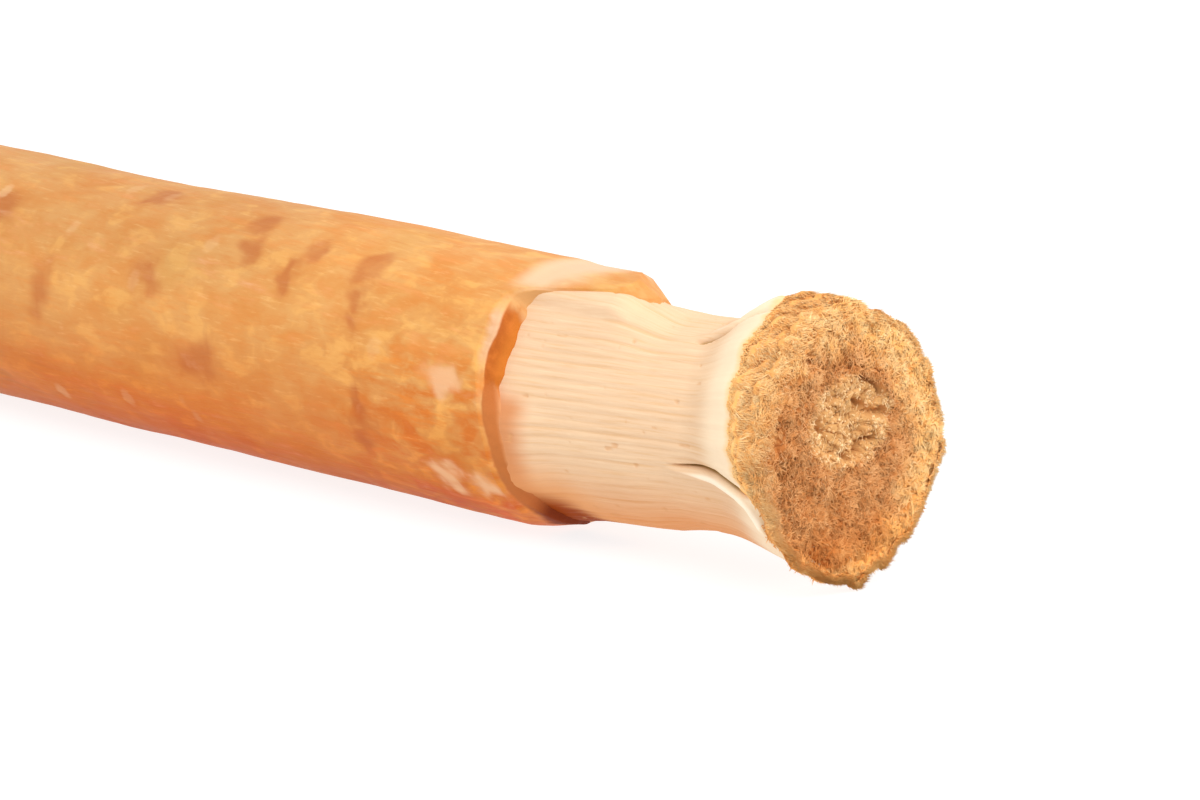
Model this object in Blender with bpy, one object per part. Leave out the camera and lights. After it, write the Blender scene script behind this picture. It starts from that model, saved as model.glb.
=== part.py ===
"""Miswak stick: one grown twig with its bark on, a peeled neck and a chewed brush head.

Lengths are in millimetres until the mesh is filled, which is in metres. x runs along the stick with 0 at
its middle and the brush head at +x. An angle of 0 looks up, 90 looks to the side with the slot and 180
looks down. The twig grew as one piece, so it is one closed surface made of rings of vertices.
"""
import math
import random

import bmesh
import bpy
import numpy as np

LENGTH = 150.0
HALF = LENGTH / 2
BOW = 4.0
BARK_RADIUS = 5.03
BARK_TAPER = 0.0026
BARK_UNEVEN = 0.08

# Where the bark's full surface ends, as angle and x. The tongue is the stretch above 61.5.
BARK_END = [(-180, 60.2), (-120, 60.1), (-90, 60.0), (-65, 59.9), (-55, 60.3), (-46, 61.2), (-30, 62.0),
            (-18, 62.4), (-3, 63.7), (8, 64.6), (16, 65.2), (21, 65.3), (24, 64.7), (26.5, 63.4), (28, 62.0),
            (31, 60.6), (36, 59.8), (52, 59.8), (64, 59.95), (84, 60.5), (100, 60.8), (130, 60.9),
            (142, 60.8), (155, 59.9), (165, 59.5), (180, 60.2)]
# The bevel past that line, down to the cut face of the bark, as angle, width and drop.
BEVEL = [(-180, 1.0, 0.25), (-120, 0.4, 0.12), (-65, 0.4, 0.12), (-50, 0.5, 0.2), (-40, 1.2, 0.7),
         (-18, 1.5, 1.0), (-3, 1.4, 0.82), (8, 1.0, 0.56), (18, 0.6, 0.34), (24, 0.4, 0.26), (29, 0.25, 0.1),
         (36, 0.9, 0.12), (52, 0.85, 0.12), (64, 0.65, 0.12), (78, 0.3, 0.12), (100, 0.25, 0.16),
         (130, 0.35, 0.18), (142, 0.9, 0.2), (155, 1.9, 0.3), (165, 2.2, 0.34), (180, 1.0, 0.25)]
TONGUE_ANGLES = (-52.0, 29.0)
TONGUE_DROP = 0.12
EDGE_FOOT = 0.1

# The peeled wood, as x, its radius and how far its middle lies below the bark's.
NECK = [(59.0, 4.3, 0.42), (61.0, 4.28, 0.42), (62.0, 4.2, 0.36), (63.0, 4.1, 0.3), (64.3, 4.04, 0.27),
        (65.5, 4.0, 0.26), (66.6, 3.96, 0.21), (67.5, 3.9, 0.1), (68.5, 3.84, 0.02), (76.0, 3.84, 0.0)]
GROOVES = 32
GROOVE_DEPTH = 0.1
# Wood left thicker beside the tongue, as angle, half width and height, and the x where it runs out.
SHOULDER = (22.0, 22.0, 0.72)
SHOULDER_END = (64.8, 67.4)
# Where the neck starts to open out and where it reaches the brush, by angle.
FLARE = [(-180, 69.9, 74.1), (-120, 69.3, 73.0), (-60, 68.4, 71.4), (-18, 67.9, 70.6), (23, 68.6, 71.8),
         (60, 69.3, 72.7), (96, 69.7, 73.4), (108, 70.9, 74.0), (127, 70.7, 74.1), (162, 69.6, 74.1),
         (180, 69.9, 74.1)]
LOWER_SPLIT = [(69.2, 101.8), (70.5, 99.7), (71.5, 99.0), (73.2, 103.0)]
LOWER_SPLIT_DEPTH = 0.28
LIP = [(68.4, 103.5), (70.0, 104.0), (71.5, 103.8), (72.6, 107.0), (73.4, 116.0)]
LIP_HEIGHT = 0.24
UPPER_SPLIT = [(68.6, 30.0), (69.6, 25.0), (70.2, 19.0), (71.0, 14.0)]
UPPER_SPLIT_DEPTH = 0.24

# The brush head's reach from the middle line, by angle, and its face.
HEAD_REACH = [(-180, 5.05), (-155, 4.78), (-141, 4.82), (-122, 4.7), (-109, 4.96), (-79, 4.93), (-66, 4.78),
              (-43, 5.0), (-8, 5.08), (-4, 5.35), (3, 5.48), (20, 5.42), (45, 5.3), (75, 5.24), (100, 5.14),
              (127, 5.03), (160, 4.96), (180, 5.05)]
TUFT_DEPTH = 0.1
SHANK_REACH = 0.91
FACE_X = 74.5
FACE_LUMP = 0.12
PITH = (0.3, 1.05)
PITH_RADII = (2.4, 1.8)
PITH_DEPTH = 0.22
# Crevices in the pith, as side, up and half width, all from the middle line.
CREVICES = [(-0.2, 1.75, 0.3), (-0.6, 1.5, 0.32), (-1.1, 1.4, 0.28), (0.35, 0.0, 0.3), (1.35, 1.0, 0.26)]
CREVICE_DEPTH = 0.3

COARSE = 48
FINE = 96
BARK_ROWS = 34
NECK_ROWS = 13
MM = 0.001


def eased(t):
    """A step from 0 to 1 with soft ends."""
    t = np.clip(t, 0.0, 1.0)
    return t * t * (3.0 - 2.0 * t)


def hump(value, middle, width):
    """1 at the middle, falling off on both sides as a bell."""
    return np.exp(-(((value - middle) / width) ** 2))


def waves(x, angle, seed, longest, lobes):
    """Uneven relief of about -1 to 1: eight cosines with seeded slants, lobe counts and phases."""
    draw = random.Random(seed)
    total = 0.0
    for _ in range(8):
        cycles = draw.uniform(-1.0, 1.0) / longest
        around = draw.randint(*lobes)
        phase = draw.uniform(0.0, 2.0 * math.pi)
        total = total + np.cos(2.0 * math.pi * cycles * x + np.radians(angle) * around + phase)
    return total / 4.0


def listed(table, column, where):
    """A column of one of the lists above, read at any angle or x, in straight steps between its rows."""
    return np.interp(where, [row[0] for row in table], [row[column] for row in table])


def between(value, start, end, fade):
    """1 from start to end with soft ends of the given length, 0 outside."""
    return eased((value - start) / fade + 0.5) * eased((end - value) / fade + 0.5)


def bark_radius(x, angle):
    taper = BARK_RADIUS + BARK_TAPER * (HALF - x)
    scraped = TONGUE_DROP * between(angle, *TONGUE_ANGLES, 6.0) * eased((x - 59.4) / 1.2)
    return taper + BARK_UNEVEN * waves(x, angle, 11, 18.0, (1, 3)) - scraped


def groove_relief(x, angle):
    """Lengthwise grooves around the peeled wood, each with its own depth, smoothed away by the brush."""
    draw = random.Random(23)
    depths = np.array([draw.uniform(0.3, 1.0) for _ in range(GROOVES)])
    turn = (angle + 180.0) / 360.0 * GROOVES
    own = depths[np.floor(turn + 0.5).astype(int) % GROOVES]
    return -GROOVE_DEPTH * own * (0.5 + 0.5 * np.cos(2.0 * math.pi * turn)) * eased((73.5 - x) / 3.0)


def split_and_lip(x, angle):
    """The two splits as furrows along their lines, each with a raised sliver beside it."""
    line = listed(LOWER_SPLIT, 1, x)
    relief = -LOWER_SPLIT_DEPTH * between(x, 69.3, 73.0, 0.8) * hump(angle, line, 2.6)
    line = listed(LIP, 1, x)
    relief = relief + LIP_HEIGHT * between(x, 68.9, 73.2, 1.0) * hump(angle, line, 3.0)
    line = listed(UPPER_SPLIT, 1, x)
    near = between(x, 68.7, 71.0, 0.8)
    relief = relief - UPPER_SPLIT_DEPTH * near * hump(angle, line, 2.6)
    return relief + 0.5 * UPPER_SPLIT_DEPTH * near * hump(angle, line - 6.0, 3.5)


def neck_radius(x, angle):
    """Peeled wood: the neck's radius, lowered middle, shoulder and grooves, then the flare and the splits."""
    plain = listed(NECK, 1, x) - listed(NECK, 2, x) * np.cos(np.radians(angle))
    middle, half_width, height = SHOULDER
    last, gone = SHOULDER_END
    plain = plain + height * hump(angle, middle, half_width) * eased((gone - x) / (gone - last))
    plain = plain + groove_relief(x, angle)
    start, end = listed(FLARE, 1, angle), listed(FLARE, 2, angle)
    opened = eased((x - start) / (end - start))
    return plain + (head_reach(angle) * SHANK_REACH - plain) * opened + split_and_lip(x, angle)


def ripples(side, up, seed, shortest, longest):
    """Uneven relief of about -1 to 1 over a flat face: twelve cosines with seeded directions and lengths."""
    draw = random.Random(seed)
    total = 0.0
    for _ in range(12):
        turn = draw.uniform(0.0, 2.0 * math.pi)
        cycles = 1.0 / draw.uniform(shortest, longest)
        across = side * math.cos(turn) + up * math.sin(turn)
        total = total + np.cos(2.0 * math.pi * (cycles * across + draw.random()))
    return total / 5.0


def head_reach(angle):
    """How far the brush stands out from the middle line, tufts included."""
    return listed(HEAD_REACH, 1, angle) + TUFT_DEPTH * waves(0.0, angle, 37, 1.0, (9, 24))


def face_relief(radius, angle):
    """Lumps of bristle over the face, and the sunken pith with its crevices."""
    side = radius * np.sin(np.radians(angle))
    up = radius * np.cos(np.radians(angle))
    lumps = FACE_LUMP * ripples(side, up, 41, 1.2, 2.6)
    from_pith = np.hypot((side - PITH[0]) / PITH_RADII[0], (up - PITH[1]) / PITH_RADII[1])
    relief = lumps - PITH_DEPTH * eased((1.0 - from_pith) / 0.4)
    for at_side, at_up, width in CREVICES:
        relief = relief - CREVICE_DEPTH * hump(np.hypot(side - at_side, up - at_up), 0.0, width)
    return relief


def middle_height(x, angles):
    """The bark's middle line is as high as each section reaches down, so the stick lies along its length."""
    barked = np.minimum(x, min(end for _, end in BARK_END))
    down = -bark_radius(np.atleast_1d(barked)[:, None], angles[None, :]) * np.cos(np.radians(angles))
    return down.max(axis=1)


def place(x, radius, angle):
    """Points at a distance and angle from the bowed middle line."""
    slope = 2.0 * BOW * x / HALF**2
    stretch = np.hypot(1.0, slope)
    side = radius * np.sin(np.radians(angle))
    height = middle_height(x, circle(FINE)) + radius * np.cos(np.radians(angle))
    return np.stack([x + side * slope / stretch, BOW * (x / HALF) ** 2 - side / stretch, height], axis=-1)


def circle(count):
    return np.arange(count) * 360.0 / count - 180.0


def rings():
    """Every ring of the surface from the cut far end to the middle of the brush's face, as x, radius, angle."""
    around = circle(COARSE)
    far = bark_radius(-HALF, around)
    yield -HALF + 0.1 + 0 * around, far * 0.35, around
    yield -HALF + 0 * around, far * 0.7, around
    yield -HALF + 0 * around, far * 0.93, around
    end = listed(BARK_END, 1, around)
    for row in range(BARK_ROWS + 1):
        x = -HALF + 0.25 + (end - 2.5 + HALF - 0.25) * row / BARK_ROWS
        yield x, bark_radius(x, around), around
    around = circle(FINE)
    end = listed(BARK_END, 1, around)
    width, drop = listed(BEVEL, 1, around), listed(BEVEL, 2, around)
    for x in (end - 1.4, end - 0.6, end):
        yield x, bark_radius(x, around), around
    for share in (0.5, 1.0):
        x = end + width * share
        yield x, bark_radius(x, around) - drop * share, around
    foot = end + width + EDGE_FOOT
    shank = listed(FLARE, 2, around)
    for row in range(NECK_ROWS + 1):
        x = foot + (shank - foot) * row / NECK_ROWS
        yield x, neck_radius(x, around), around
    reach = head_reach(around)
    for share, inwards in ((0.5, 0.2), (1.0, 0.0)):
        yield shank + (FACE_X - 0.25 - shank) * share, reach - inwards, around
    for back, inwards in ((0.08, 0.12), (0.0, 0.4)):
        yield FACE_X - back + 0 * around, reach - inwards, around
    for share in (0.81, 0.7, 0.6, 0.5, 0.4, 0.3, 0.2, 0.1):
        radius = reach * share
        yield FACE_X + 0.06 + face_relief(radius, around), radius, around


def stick_surface():
    """The whole surface as rings of points, shifted so that the origin is under the middle of its box."""
    points = [place(*ring) for ring in rings()]
    everything = np.concatenate(points)
    low, high = everything.min(axis=0), everything.max(axis=0)
    shift = np.array([(low[0] + high[0]) / 2, (low[1] + high[1]) / 2, low[2]])
    return [(ring - shift) * MM for ring in points]


def fill_between(mesh, near, far):
    """Faces between two rings, where the farther one may have twice the points."""
    count = len(near)
    for i in range(count):
        j = (i + 1) % count
        if len(far) == count:
            mesh.faces.new((near[i], near[j], far[j], far[i]))
        else:
            mesh.faces.new((near[i], far[2 * i + 1], far[2 * i]))
            mesh.faces.new((near[i], near[j], far[2 * i + 1]))
            mesh.faces.new((near[j], far[2 * j], far[2 * i + 1]))


def close_end(mesh, ring):
    """A fan from a ring to a point at its middle."""
    middle = mesh.verts.new(sum((v.co for v in ring), ring[0].co * 0) / len(ring))
    for i, vert in enumerate(ring):
        mesh.faces.new((vert, ring[(i + 1) % len(ring)], middle))


def wood_material():
    material = bpy.data.materials.new("peeled_bark")
    material.use_nodes = True
    shader = material.node_tree.nodes["Principled BSDF"]
    shader.inputs["Base Color"].default_value = (0.84, 0.45, 0.17, 1.0)
    shader.inputs["Roughness"].default_value = 0.5
    shader.inputs["Metallic"].default_value = 0.0
    return material


def make_stick():
    mesh = bmesh.new()
    ringed = [[mesh.verts.new(point) for point in ring] for ring in stick_surface()]
    for near, far in zip(ringed, ringed[1:]):
        fill_between(mesh, near, far)
    close_end(mesh, ringed[0])
    close_end(mesh, ringed[-1])
    bmesh.ops.triangulate(mesh, faces=mesh.faces)
    bmesh.ops.recalc_face_normals(mesh, faces=mesh.faces)
    data = bpy.data.meshes.new("miswak_stick")
    mesh.to_mesh(data)
    mesh.free()
    data.shade_smooth()
    data.set_sharp_from_angle(angle=math.radians(50))
    stick = bpy.data.objects.new("miswak_stick", data)
    stick.data.materials.append(wood_material())
    bpy.context.collection.objects.link(stick)


for old in list(bpy.data.objects):
    bpy.data.objects.remove(old)
make_stick()
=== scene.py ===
"""A miswak stick: a twig with its bark on, a peeled neck and a chewed brush head.

The shapes are worked out in millimetres around the stick's bowed middle line and stored in metres. x runs
along the stick with 0 at its middle and the brush at +x. An angle of 0 looks up, 90 looks to the side with
the rust slot and 180 looks down.
"""
import math
import random

import bpy
import numpy as np
from bpy.props import FloatProperty, FloatVectorProperty, IntProperty, PointerProperty
from mathutils import Matrix, Vector


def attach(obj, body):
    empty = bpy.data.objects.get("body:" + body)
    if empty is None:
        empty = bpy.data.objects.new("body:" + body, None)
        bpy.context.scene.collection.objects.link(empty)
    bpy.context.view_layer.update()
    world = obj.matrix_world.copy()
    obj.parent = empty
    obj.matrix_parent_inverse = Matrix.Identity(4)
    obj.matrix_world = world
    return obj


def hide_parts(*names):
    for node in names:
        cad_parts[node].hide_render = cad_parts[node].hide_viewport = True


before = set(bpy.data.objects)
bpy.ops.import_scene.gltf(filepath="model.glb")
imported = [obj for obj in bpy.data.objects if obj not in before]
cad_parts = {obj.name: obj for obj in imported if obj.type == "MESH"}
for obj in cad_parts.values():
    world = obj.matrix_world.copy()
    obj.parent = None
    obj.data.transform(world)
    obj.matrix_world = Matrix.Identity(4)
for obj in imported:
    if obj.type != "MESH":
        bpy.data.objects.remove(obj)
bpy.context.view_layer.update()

bl_info = {
    "name": "Miswak Stick",
    "version": (1, 0, 0),
    "blender": (4, 5, 0),
    "location": "View3D > Sidebar > Miswak",
    "description": "Builds a miswak stick with bark, peeled neck and chewed brush head",
    "category": "Add Mesh",
}

MM = 0.001
BODY = "root"
NODE = "miswak_stick"
# What the solid was moved by, so that its box stands over the origin.
SHIFT = (-0.23455, 2.06312, -0.02597)

# The stick's main sizes, the same as those of its solid.
LENGTH = 150.0
HALF = LENGTH / 2
BOW = 4.0
BARK_RADIUS = 5.03
BARK_TAPER = 0.0026
BARK_UNEVEN = 0.08
# Where the bark ends, as angle and x.
BARK_END = [(-180, 60.2), (-120, 60.1), (-90, 60.0), (-65, 59.9), (-55, 60.3), (-46, 61.2), (-30, 62.0),
            (-18, 62.4), (-3, 63.7), (8, 64.4), (14, 64.5), (18, 64.4), (20.5, 63.9), (23, 63.1), (25, 62.3),
            (27.5, 61.3), (31, 60.4), (36, 59.8), (52, 59.8), (64, 59.95), (84, 60.4), (100, 60.6),
            (130, 60.7), (142, 60.7), (155, 59.9), (165, 59.5), (180, 60.2)]
# How the bark slopes down past its end, as angle, length and drop.
BEVEL = [(-180, 1.0, 0.25), (-120, 0.4, 0.12), (-65, 0.4, 0.12), (-50, 0.5, 0.2), (-40, 1.2, 0.7),
         (-18, 1.5, 1.0), (-3, 1.4, 0.82), (8, 1.0, 0.56), (18, 0.6, 0.34), (24, 0.4, 0.26), (29, 0.25, 0.1),
         (33, 0.25, 0.1), (36, 0.3, 0.12), (42, 0.38, 0.12), (52, 0.58, 0.12), (64, 0.42, 0.12),
         (78, 0.25, 0.12), (100, 0.25, 0.16), (130, 0.35, 0.18), (142, 0.9, 0.2), (155, 1.9, 0.3),
         (165, 2.2, 0.34), (180, 1.0, 0.25)]
# The tongue of bark on top: the angles it lies between and how much lower it is scraped.
TONGUE_ANGLES = (-52.0, 29.0)
TONGUE_DROP = 0.12
# How far the bark's cut face runs on past its slope, at the least.
EDGE_FOOT = 0.1
# The neck, as x, radius and how much lower its middle lies.
NECK = [(59.0, 4.3, 0.42), (61.0, 4.28, 0.42), (62.0, 4.2, 0.36), (63.0, 4.1, 0.3), (64.3, 4.04, 0.27),
        (65.5, 4.0, 0.26), (66.6, 3.96, 0.21), (67.5, 3.9, 0.1), (68.5, 3.84, 0.02), (76.0, 3.84, 0.0)]
# Wood left high under the tongue, as angle, half width and height, and from where to where it comes down.
SHOULDER = (22.0, 22.0, 0.72)
SHOULDER_END = (64.8, 67.4)
# Wood left standing along the tongue's lower edge, as height, angles and x.
SHELF_HEIGHT = 0.27
SHELF_ANGLES = (2.0, 31.5)
SHELF_LENGTH = (56.0, 65.0)
# Wood left standing beside the bark below the rust slot, as height, angles and from where it comes down.
BANK_HEIGHT = 0.3
BANK_ANGLES = (88.0, 130.0)
BANK_END = (60.8, 63.8)
# How many degrees the wood's grain turns up round the neck in each millimetre, and where it has no turn.
TWIST = 0.7
TWIST_MIDDLE = 65.0
# Where the bare wood starts inside the bark, and a middling radius of it for reading noise at.
WOOD_START = 58.6
WOOD_RADIUS = 4.0
# The flare, as angle, the x where the wood starts to open out and the x where the brush takes over.
FLARE = [(-180, 69.9, 74.1), (-120, 69.3, 73.0), (-60, 68.4, 71.4), (-18, 67.9, 70.6), (23, 68.6, 71.8),
         (60, 69.2, 72.3), (96, 69.5, 73.0), (108, 70.9, 74.0), (127, 70.7, 74.1), (162, 69.6, 74.1),
         (180, 69.9, 74.1)]
# The two splits and the lip beside the lower one, as x and angle.
LOWER_SPLIT = [(68.6, 102.0), (69.4, 101.8), (70.5, 99.9), (71.5, 99.2), (72.2, 101.0), (73.2, 104.5)]
LIP = [(68.4, 104.0), (70.0, 103.6), (71.4, 103.6), (72.2, 105.0), (73.0, 108.5), (73.5, 115.0),
       (74.3, 124.0)]
UPPER_SPLIT = [(68.6, 30.0), (69.6, 25.0), (70.2, 19.0), (71.0, 14.0)]
# How far the brush stands out, as angle and distance, and its tufts' depth.
HEAD_REACH = [(-180, 5.05), (-155, 4.78), (-141, 4.82), (-122, 4.7), (-109, 4.96), (-79, 4.93), (-66, 4.78),
              (-43, 5.0), (-8, 5.08), (-4, 5.35), (3, 5.48), (20, 5.42), (45, 5.3), (75, 5.24), (100, 5.14),
              (127, 5.03), (160, 4.96), (180, 5.05)]
TUFT_DEPTH = 0.1
# The share of that distance at which the wood gives way to the brush.
SHANK_REACH = 0.91
# The brush's face: its x, its slow lumps and its pith, as middle, half widths and depth.
FACE_X = 74.5
FACE_LUMP = 0.12
PITH = (0.3, 1.05)
PITH_RADII = (2.4, 1.8)
PITH_DEPTH = 0.22
# A smooth pale lump in the pith, as its place to the side and up, its half width, height and stretch.
KNOB = (0.15, 1.8)
KNOB_WIDTH = 0.34
KNOB_HEIGHT = 0.14
KNOB_STRETCH = 1.5
# The middle of the brush's rings, to the side and up.
RINGS_MIDDLE = (0.95, -0.35)
# The size of the bundles of bristle, which the fibres lean with, and the seed of their places.
BUNDLE_SIZE = 0.62
BUNDLE_SEED = 301
# How thick a fibre is against its width.
FLATNESS = 0.5

# Marks on the bark, as x, angle, half length in millimetres and half width in degrees.
BLOTCHES = [(48.6, 48, 0.5, 9), (48.9, 33, 0.6, 9), (52.6, 36, 0.9, 8), (52.8, 52, 0.6, 7),
            (52.9, 64, 0.5, 7), (53.9, 100, 0.5, 9), (53.8, 114, 0.6, 8), (45.1, 24, 1.0, 10),
            (45.6, 40, 0.8, 7), (44.3, 96, 1.4, 12), (40.5, 62, 1.1, 9), (37.8, 20, 1.3, 10),
            (34.0, 78, 1.0, 12), (29.5, 44, 1.2, 9)]
FLAKES = [(58.5, 79, 1.05, 6.5), (57.8, 123, 0.8, 7.5), (59.9, 127, 0.9, 6.0), (56.6, -70, 0.9, 7),
          (58.2, -128, 0.8, 9), (46.0, -96, 0.7, 6)]

# Crevices in the pith, as a half width in millimetres and points to the side and up from the middle line.
CREVICES = [(0.13, [(0.24, 1.9), (-0.2, 1.55), (-0.67, 1.3), (-1.2, 1.12), (-1.64, 1.07)]),
            (0.12, [(-0.1, 2.55), (-0.7, 2.45), (-1.1, 2.2), (-1.35, 1.9)]),
            (0.15, [(1.96, 1.24), (1.75, 0.95), (1.6, 0.7)]),
            (0.13, [(-0.16, -0.15), (-0.5, 0.25), (-0.9, 0.4)]),
            (0.16, [(0.47, -0.16), (0.42, -0.2)])]
# Cracks along the inner side of the brush's outer ring: their half width, and points to the side and up.
RIM_CRACK_WIDTH = 0.1
RIM_CRACKS = [[(4.2, 1.7), (4.0, 0.9), (4.2, 0.2), (3.95, -0.8)],
              [(3.6, -1.9), (3.3, -2.4), (3.1, -2.6)],
              [(2.2, -3.6), (1.4, -3.95), (0.6, -3.85), (-0.6, -4.1)],
              [(3.3, 2.6), (2.6, 3.3), (2.2, 3.3)],
              [(-2.9, 2.6), (-3.3, 1.9)],
              [(-3.4, -1.6), (-3.2, -2.2), (-2.7, -2.6)]]

# Shades that only one finish uses, as red, green and blue on a screen.
STAINS = {
    "rust patch": (208, 114, 30),
    "pale patch": (238, 180, 100),
    "orange streak": (224, 134, 44),
    "dark fleck": (206, 124, 56),
    "pale fleck": (240, 190, 122),
    "crease": (172, 98, 44),
    "weathered bark": (190, 124, 66),
    "bark pore": (226, 184, 136),
    "flake edge": (236, 178, 128),
    "scraped tongue": (230, 190, 154),
    "pale rim": (232, 192, 158),
    "line at the wood": (220, 158, 108),
    # The cut line: paler on top as painted light, darker below and underneath as painted shade.
    "lit line on top": (212, 158, 100),
    "shaded line below": (182, 102, 52),
    "line in shadow underneath": (126, 50, 16),
    "slot at the rim": (170, 88, 30),
    "slot streak": (216, 124, 50),
    "dark thread": (216, 172, 124),
    "pale thread": (236, 208, 172),
    "warm wood": (238, 204, 164),
    "pink wood": (230, 176, 140),
    "wood at the line": (204, 130, 76),
    # A brown stain with painted shadow where the neck starts under the bark's low edge.
    "stained and shaded wood below": (224, 156, 100),
    "stained wood in shadow underneath": (150, 64, 16),
    "lip": (254, 238, 214),
    "frayed wood": (244, 198, 134),
    "nick": (214, 158, 108),
    # Painted shade in the wood's splits.
    "split": (176, 138, 72),
    # Painted shade between the brush's tufts.
    "painted shade between tufts": (170, 98, 40),
    "brush at the wood": (253, 203, 134),
    "pale fibre": (255, 218, 172),
    "sawn ring": (214, 168, 120),
    "ray": (240, 212, 176),
    "wood pore": (178, 120, 72),
    "sawn pith": (188, 136, 88),
    "inner bark": (200, 128, 70),
    "pale inner bark": (226, 158, 94),
    "outer bark": (182, 104, 54),
}
# What a finish is multiplied by for painted shade, where it darkens: the bark low down, at its low
# edge, and away from the brush on top and at the side, the wood low down and the brush low down.
BARK_LOW_SHADE = (0.93, 0.48, 0.1, 1.0)
BARK_EDGE_SHADE = (0.82, 0.7, 0.3, 1.0)
BARK_AWAY_TOP_SHADE = (0.87, 0.87, 0.9, 1.0)
BARK_AWAY_SIDE_SHADE = (1.0, 0.86, 0.6, 1.0)
WOOD_LOW_SHADE = (0.95, 0.6, 0.37, 1.0)
BRUSH_LOW_SHADE = (0.98, 0.8, 0.6, 1.0)


def eased(t):
    """A step from 0 to 1 with soft ends: 3 t squared less 2 t cubed, held at 0 and 1 outside."""
    t = np.clip(t, 0.0, 1.0)
    return t * t * (3.0 - 2.0 * t)


def hump(value, middle, width):
    """A bell: e to the power of minus the square of the distance from the middle over the width."""
    return np.exp(-(((value - middle) / width) ** 2))


def between(value, start, end, fade):
    """1 from start to end with soft ends of the given length, 0 outside."""
    return eased((value - start) / fade + 0.5) * eased((end - value) / fade + 0.5)


def listed(table, column, where):
    """A column of one of the lists above, read at any angle or x, in straight steps between its rows."""
    return np.interp(where, [row[0] for row in table], [row[column] for row in table])


def waves(x, angle, seed, longest, lobes):
    """Uneven relief of about -1 to 1: eight cosines with seeded slants, lobe counts and phases."""
    draw = random.Random(seed)
    total = 0.0
    for _ in range(8):
        cycles = draw.uniform(-1.0, 1.0) / longest
        around = draw.randint(*lobes)
        phase = draw.uniform(0.0, 2.0 * math.pi)
        total = total + np.cos(2.0 * math.pi * cycles * x + np.radians(angle) * around + phase)
    return total / 4.0


def ripples(side, up, seed, shortest, longest):
    """Uneven relief of about -1 to 1 over a flat face: twelve cosines with seeded directions and lengths."""
    draw = random.Random(seed)
    total = 0.0
    for _ in range(12):
        turn = draw.uniform(0.0, 2.0 * math.pi)
        cycles = 1.0 / draw.uniform(shortest, longest)
        across = side * math.cos(turn) + up * math.sin(turn)
        total = total + np.cos(2.0 * math.pi * (cycles * across + draw.random()))
    return total / 5.0


def hashed(corner, seed):
    """A number from 0 to 1 for each whole-numbered corner: its coordinates times large primes, bits mixed."""
    mixed = corner[..., 0] * 374761393 + corner[..., 1] * 668265263 + corner[..., 2] * 1440670441
    mixed = (mixed + seed * 982451653) & 0xFFFFFFFF
    mixed = ((mixed ^ (mixed >> 13)) * 1274126177) & 0xFFFFFFFF
    mixed = ((mixed ^ (mixed >> 15)) * 2246822519) & 0xFFFFFFFF
    return (mixed ^ (mixed >> 16)) / 4294967296.0


def cloud(points, size, seed):
    """Smooth noise from -1 to 1: hashed numbers at the corners of cubes of a size, eased between them."""
    scaled = points / size
    base = np.floor(scaled).astype(np.int64)
    share = eased(scaled - base)
    total = 0.0
    for corner in np.ndindex(2, 2, 2):
        weight = np.where(np.array(corner), share, 1.0 - share).prod(axis=-1)
        total = total + weight * hashed(base + np.array(corner), seed)
    return 2.0 * total - 1.0


def rough(points, size, seed, layers):
    """Clouds of halving size and halving height, added up."""
    return sum(cloud(points, size / 2**k, seed + k) / 2**k for k in range(layers))


def cells(points, size, seed):
    """Lumps: distances to the nearest and second nearest of seeds scattered one to a cube, and the
    nearest one's own number from 0 to 1."""
    scaled = points / size
    base = np.floor(scaled).astype(np.int64)
    nearest = np.full(points.shape[:-1], 9.0)
    second = nearest.copy()
    own = nearest.copy()
    for offset in np.ndindex(3, 3, 3):
        corner = base + np.array(offset) - 1
        place_in = np.stack([hashed(corner, seed + k) for k in range(3)], axis=-1)
        distance = np.linalg.norm(scaled - corner - place_in, axis=-1)
        second = np.minimum(second, np.maximum(nearest, distance))
        own = np.where(distance < nearest, place_in[..., 0], own)
        nearest = np.minimum(nearest, distance)
    return nearest, second, own


def border(nearest, second, width):
    """Cracks between lumps: 1 where two seeds are equally near, 0 where one is nearer by a width or more."""
    return eased((width - (second - nearest)) / width)


def polyline_distance(side, up, points):
    """Distance from each place on the face to the nearest point of a line of straight steps."""
    best = np.full(np.shape(side), 9.0)
    for (s0, u0), (s1, u1) in zip(points, points[1:]):
        ds, du = s1 - s0, u1 - u0
        t = np.clip(((side - s0) * ds + (up - u0) * du) / (ds * ds + du * du), 0.0, 1.0)
        best = np.minimum(best, np.hypot(side - s0 - t * ds, up - u0 - t * du))
    return best


def circle(count):
    return np.arange(count) * 360.0 / count - 180.0


def bark_radius(x, angle):
    """The bark's outside: its radius with taper and slow unevenness, scraped lower on the tongue."""
    taper = BARK_RADIUS + BARK_TAPER * (HALF - x)
    scraped = TONGUE_DROP * between(angle, *TONGUE_ANGLES, 6.0) * eased((x - 59.4) / 1.2)
    return taper + BARK_UNEVEN * waves(x, angle, 11, 18.0, (1, 3)) - scraped


def height_table():
    """How high the middle line lies at many x, which is as far as each section reaches down."""
    x = np.linspace(-HALF - 1.0, HALF + 1.0, 609)
    around = circle(96)
    barked = np.minimum(x, min(end for _, end in BARK_END))
    down = -bark_radius(barked[:, None], around[None, :]) * np.cos(np.radians(around))
    return x, down.max(axis=1)


HEIGHTS = height_table()


def across(radius, angle):
    """How far to the side and up a place lies from the middle line."""
    return radius * np.sin(np.radians(angle)), radius * np.cos(np.radians(angle))


def place(x, radius, angle):
    """Points at a distance and angle from the bowed middle line, in metres in the solid's frame."""
    slope = 2.0 * BOW * x / HALF**2
    stretch = np.hypot(1.0, slope)
    side, up = across(radius, angle)
    height = np.interp(x, *HEIGHTS) + up
    points = np.stack([x + side * slope / stretch, BOW * (x / HALF) ** 2 - side / stretch, height], axis=-1)
    return (points - np.array(SHIFT)) * MM


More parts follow.
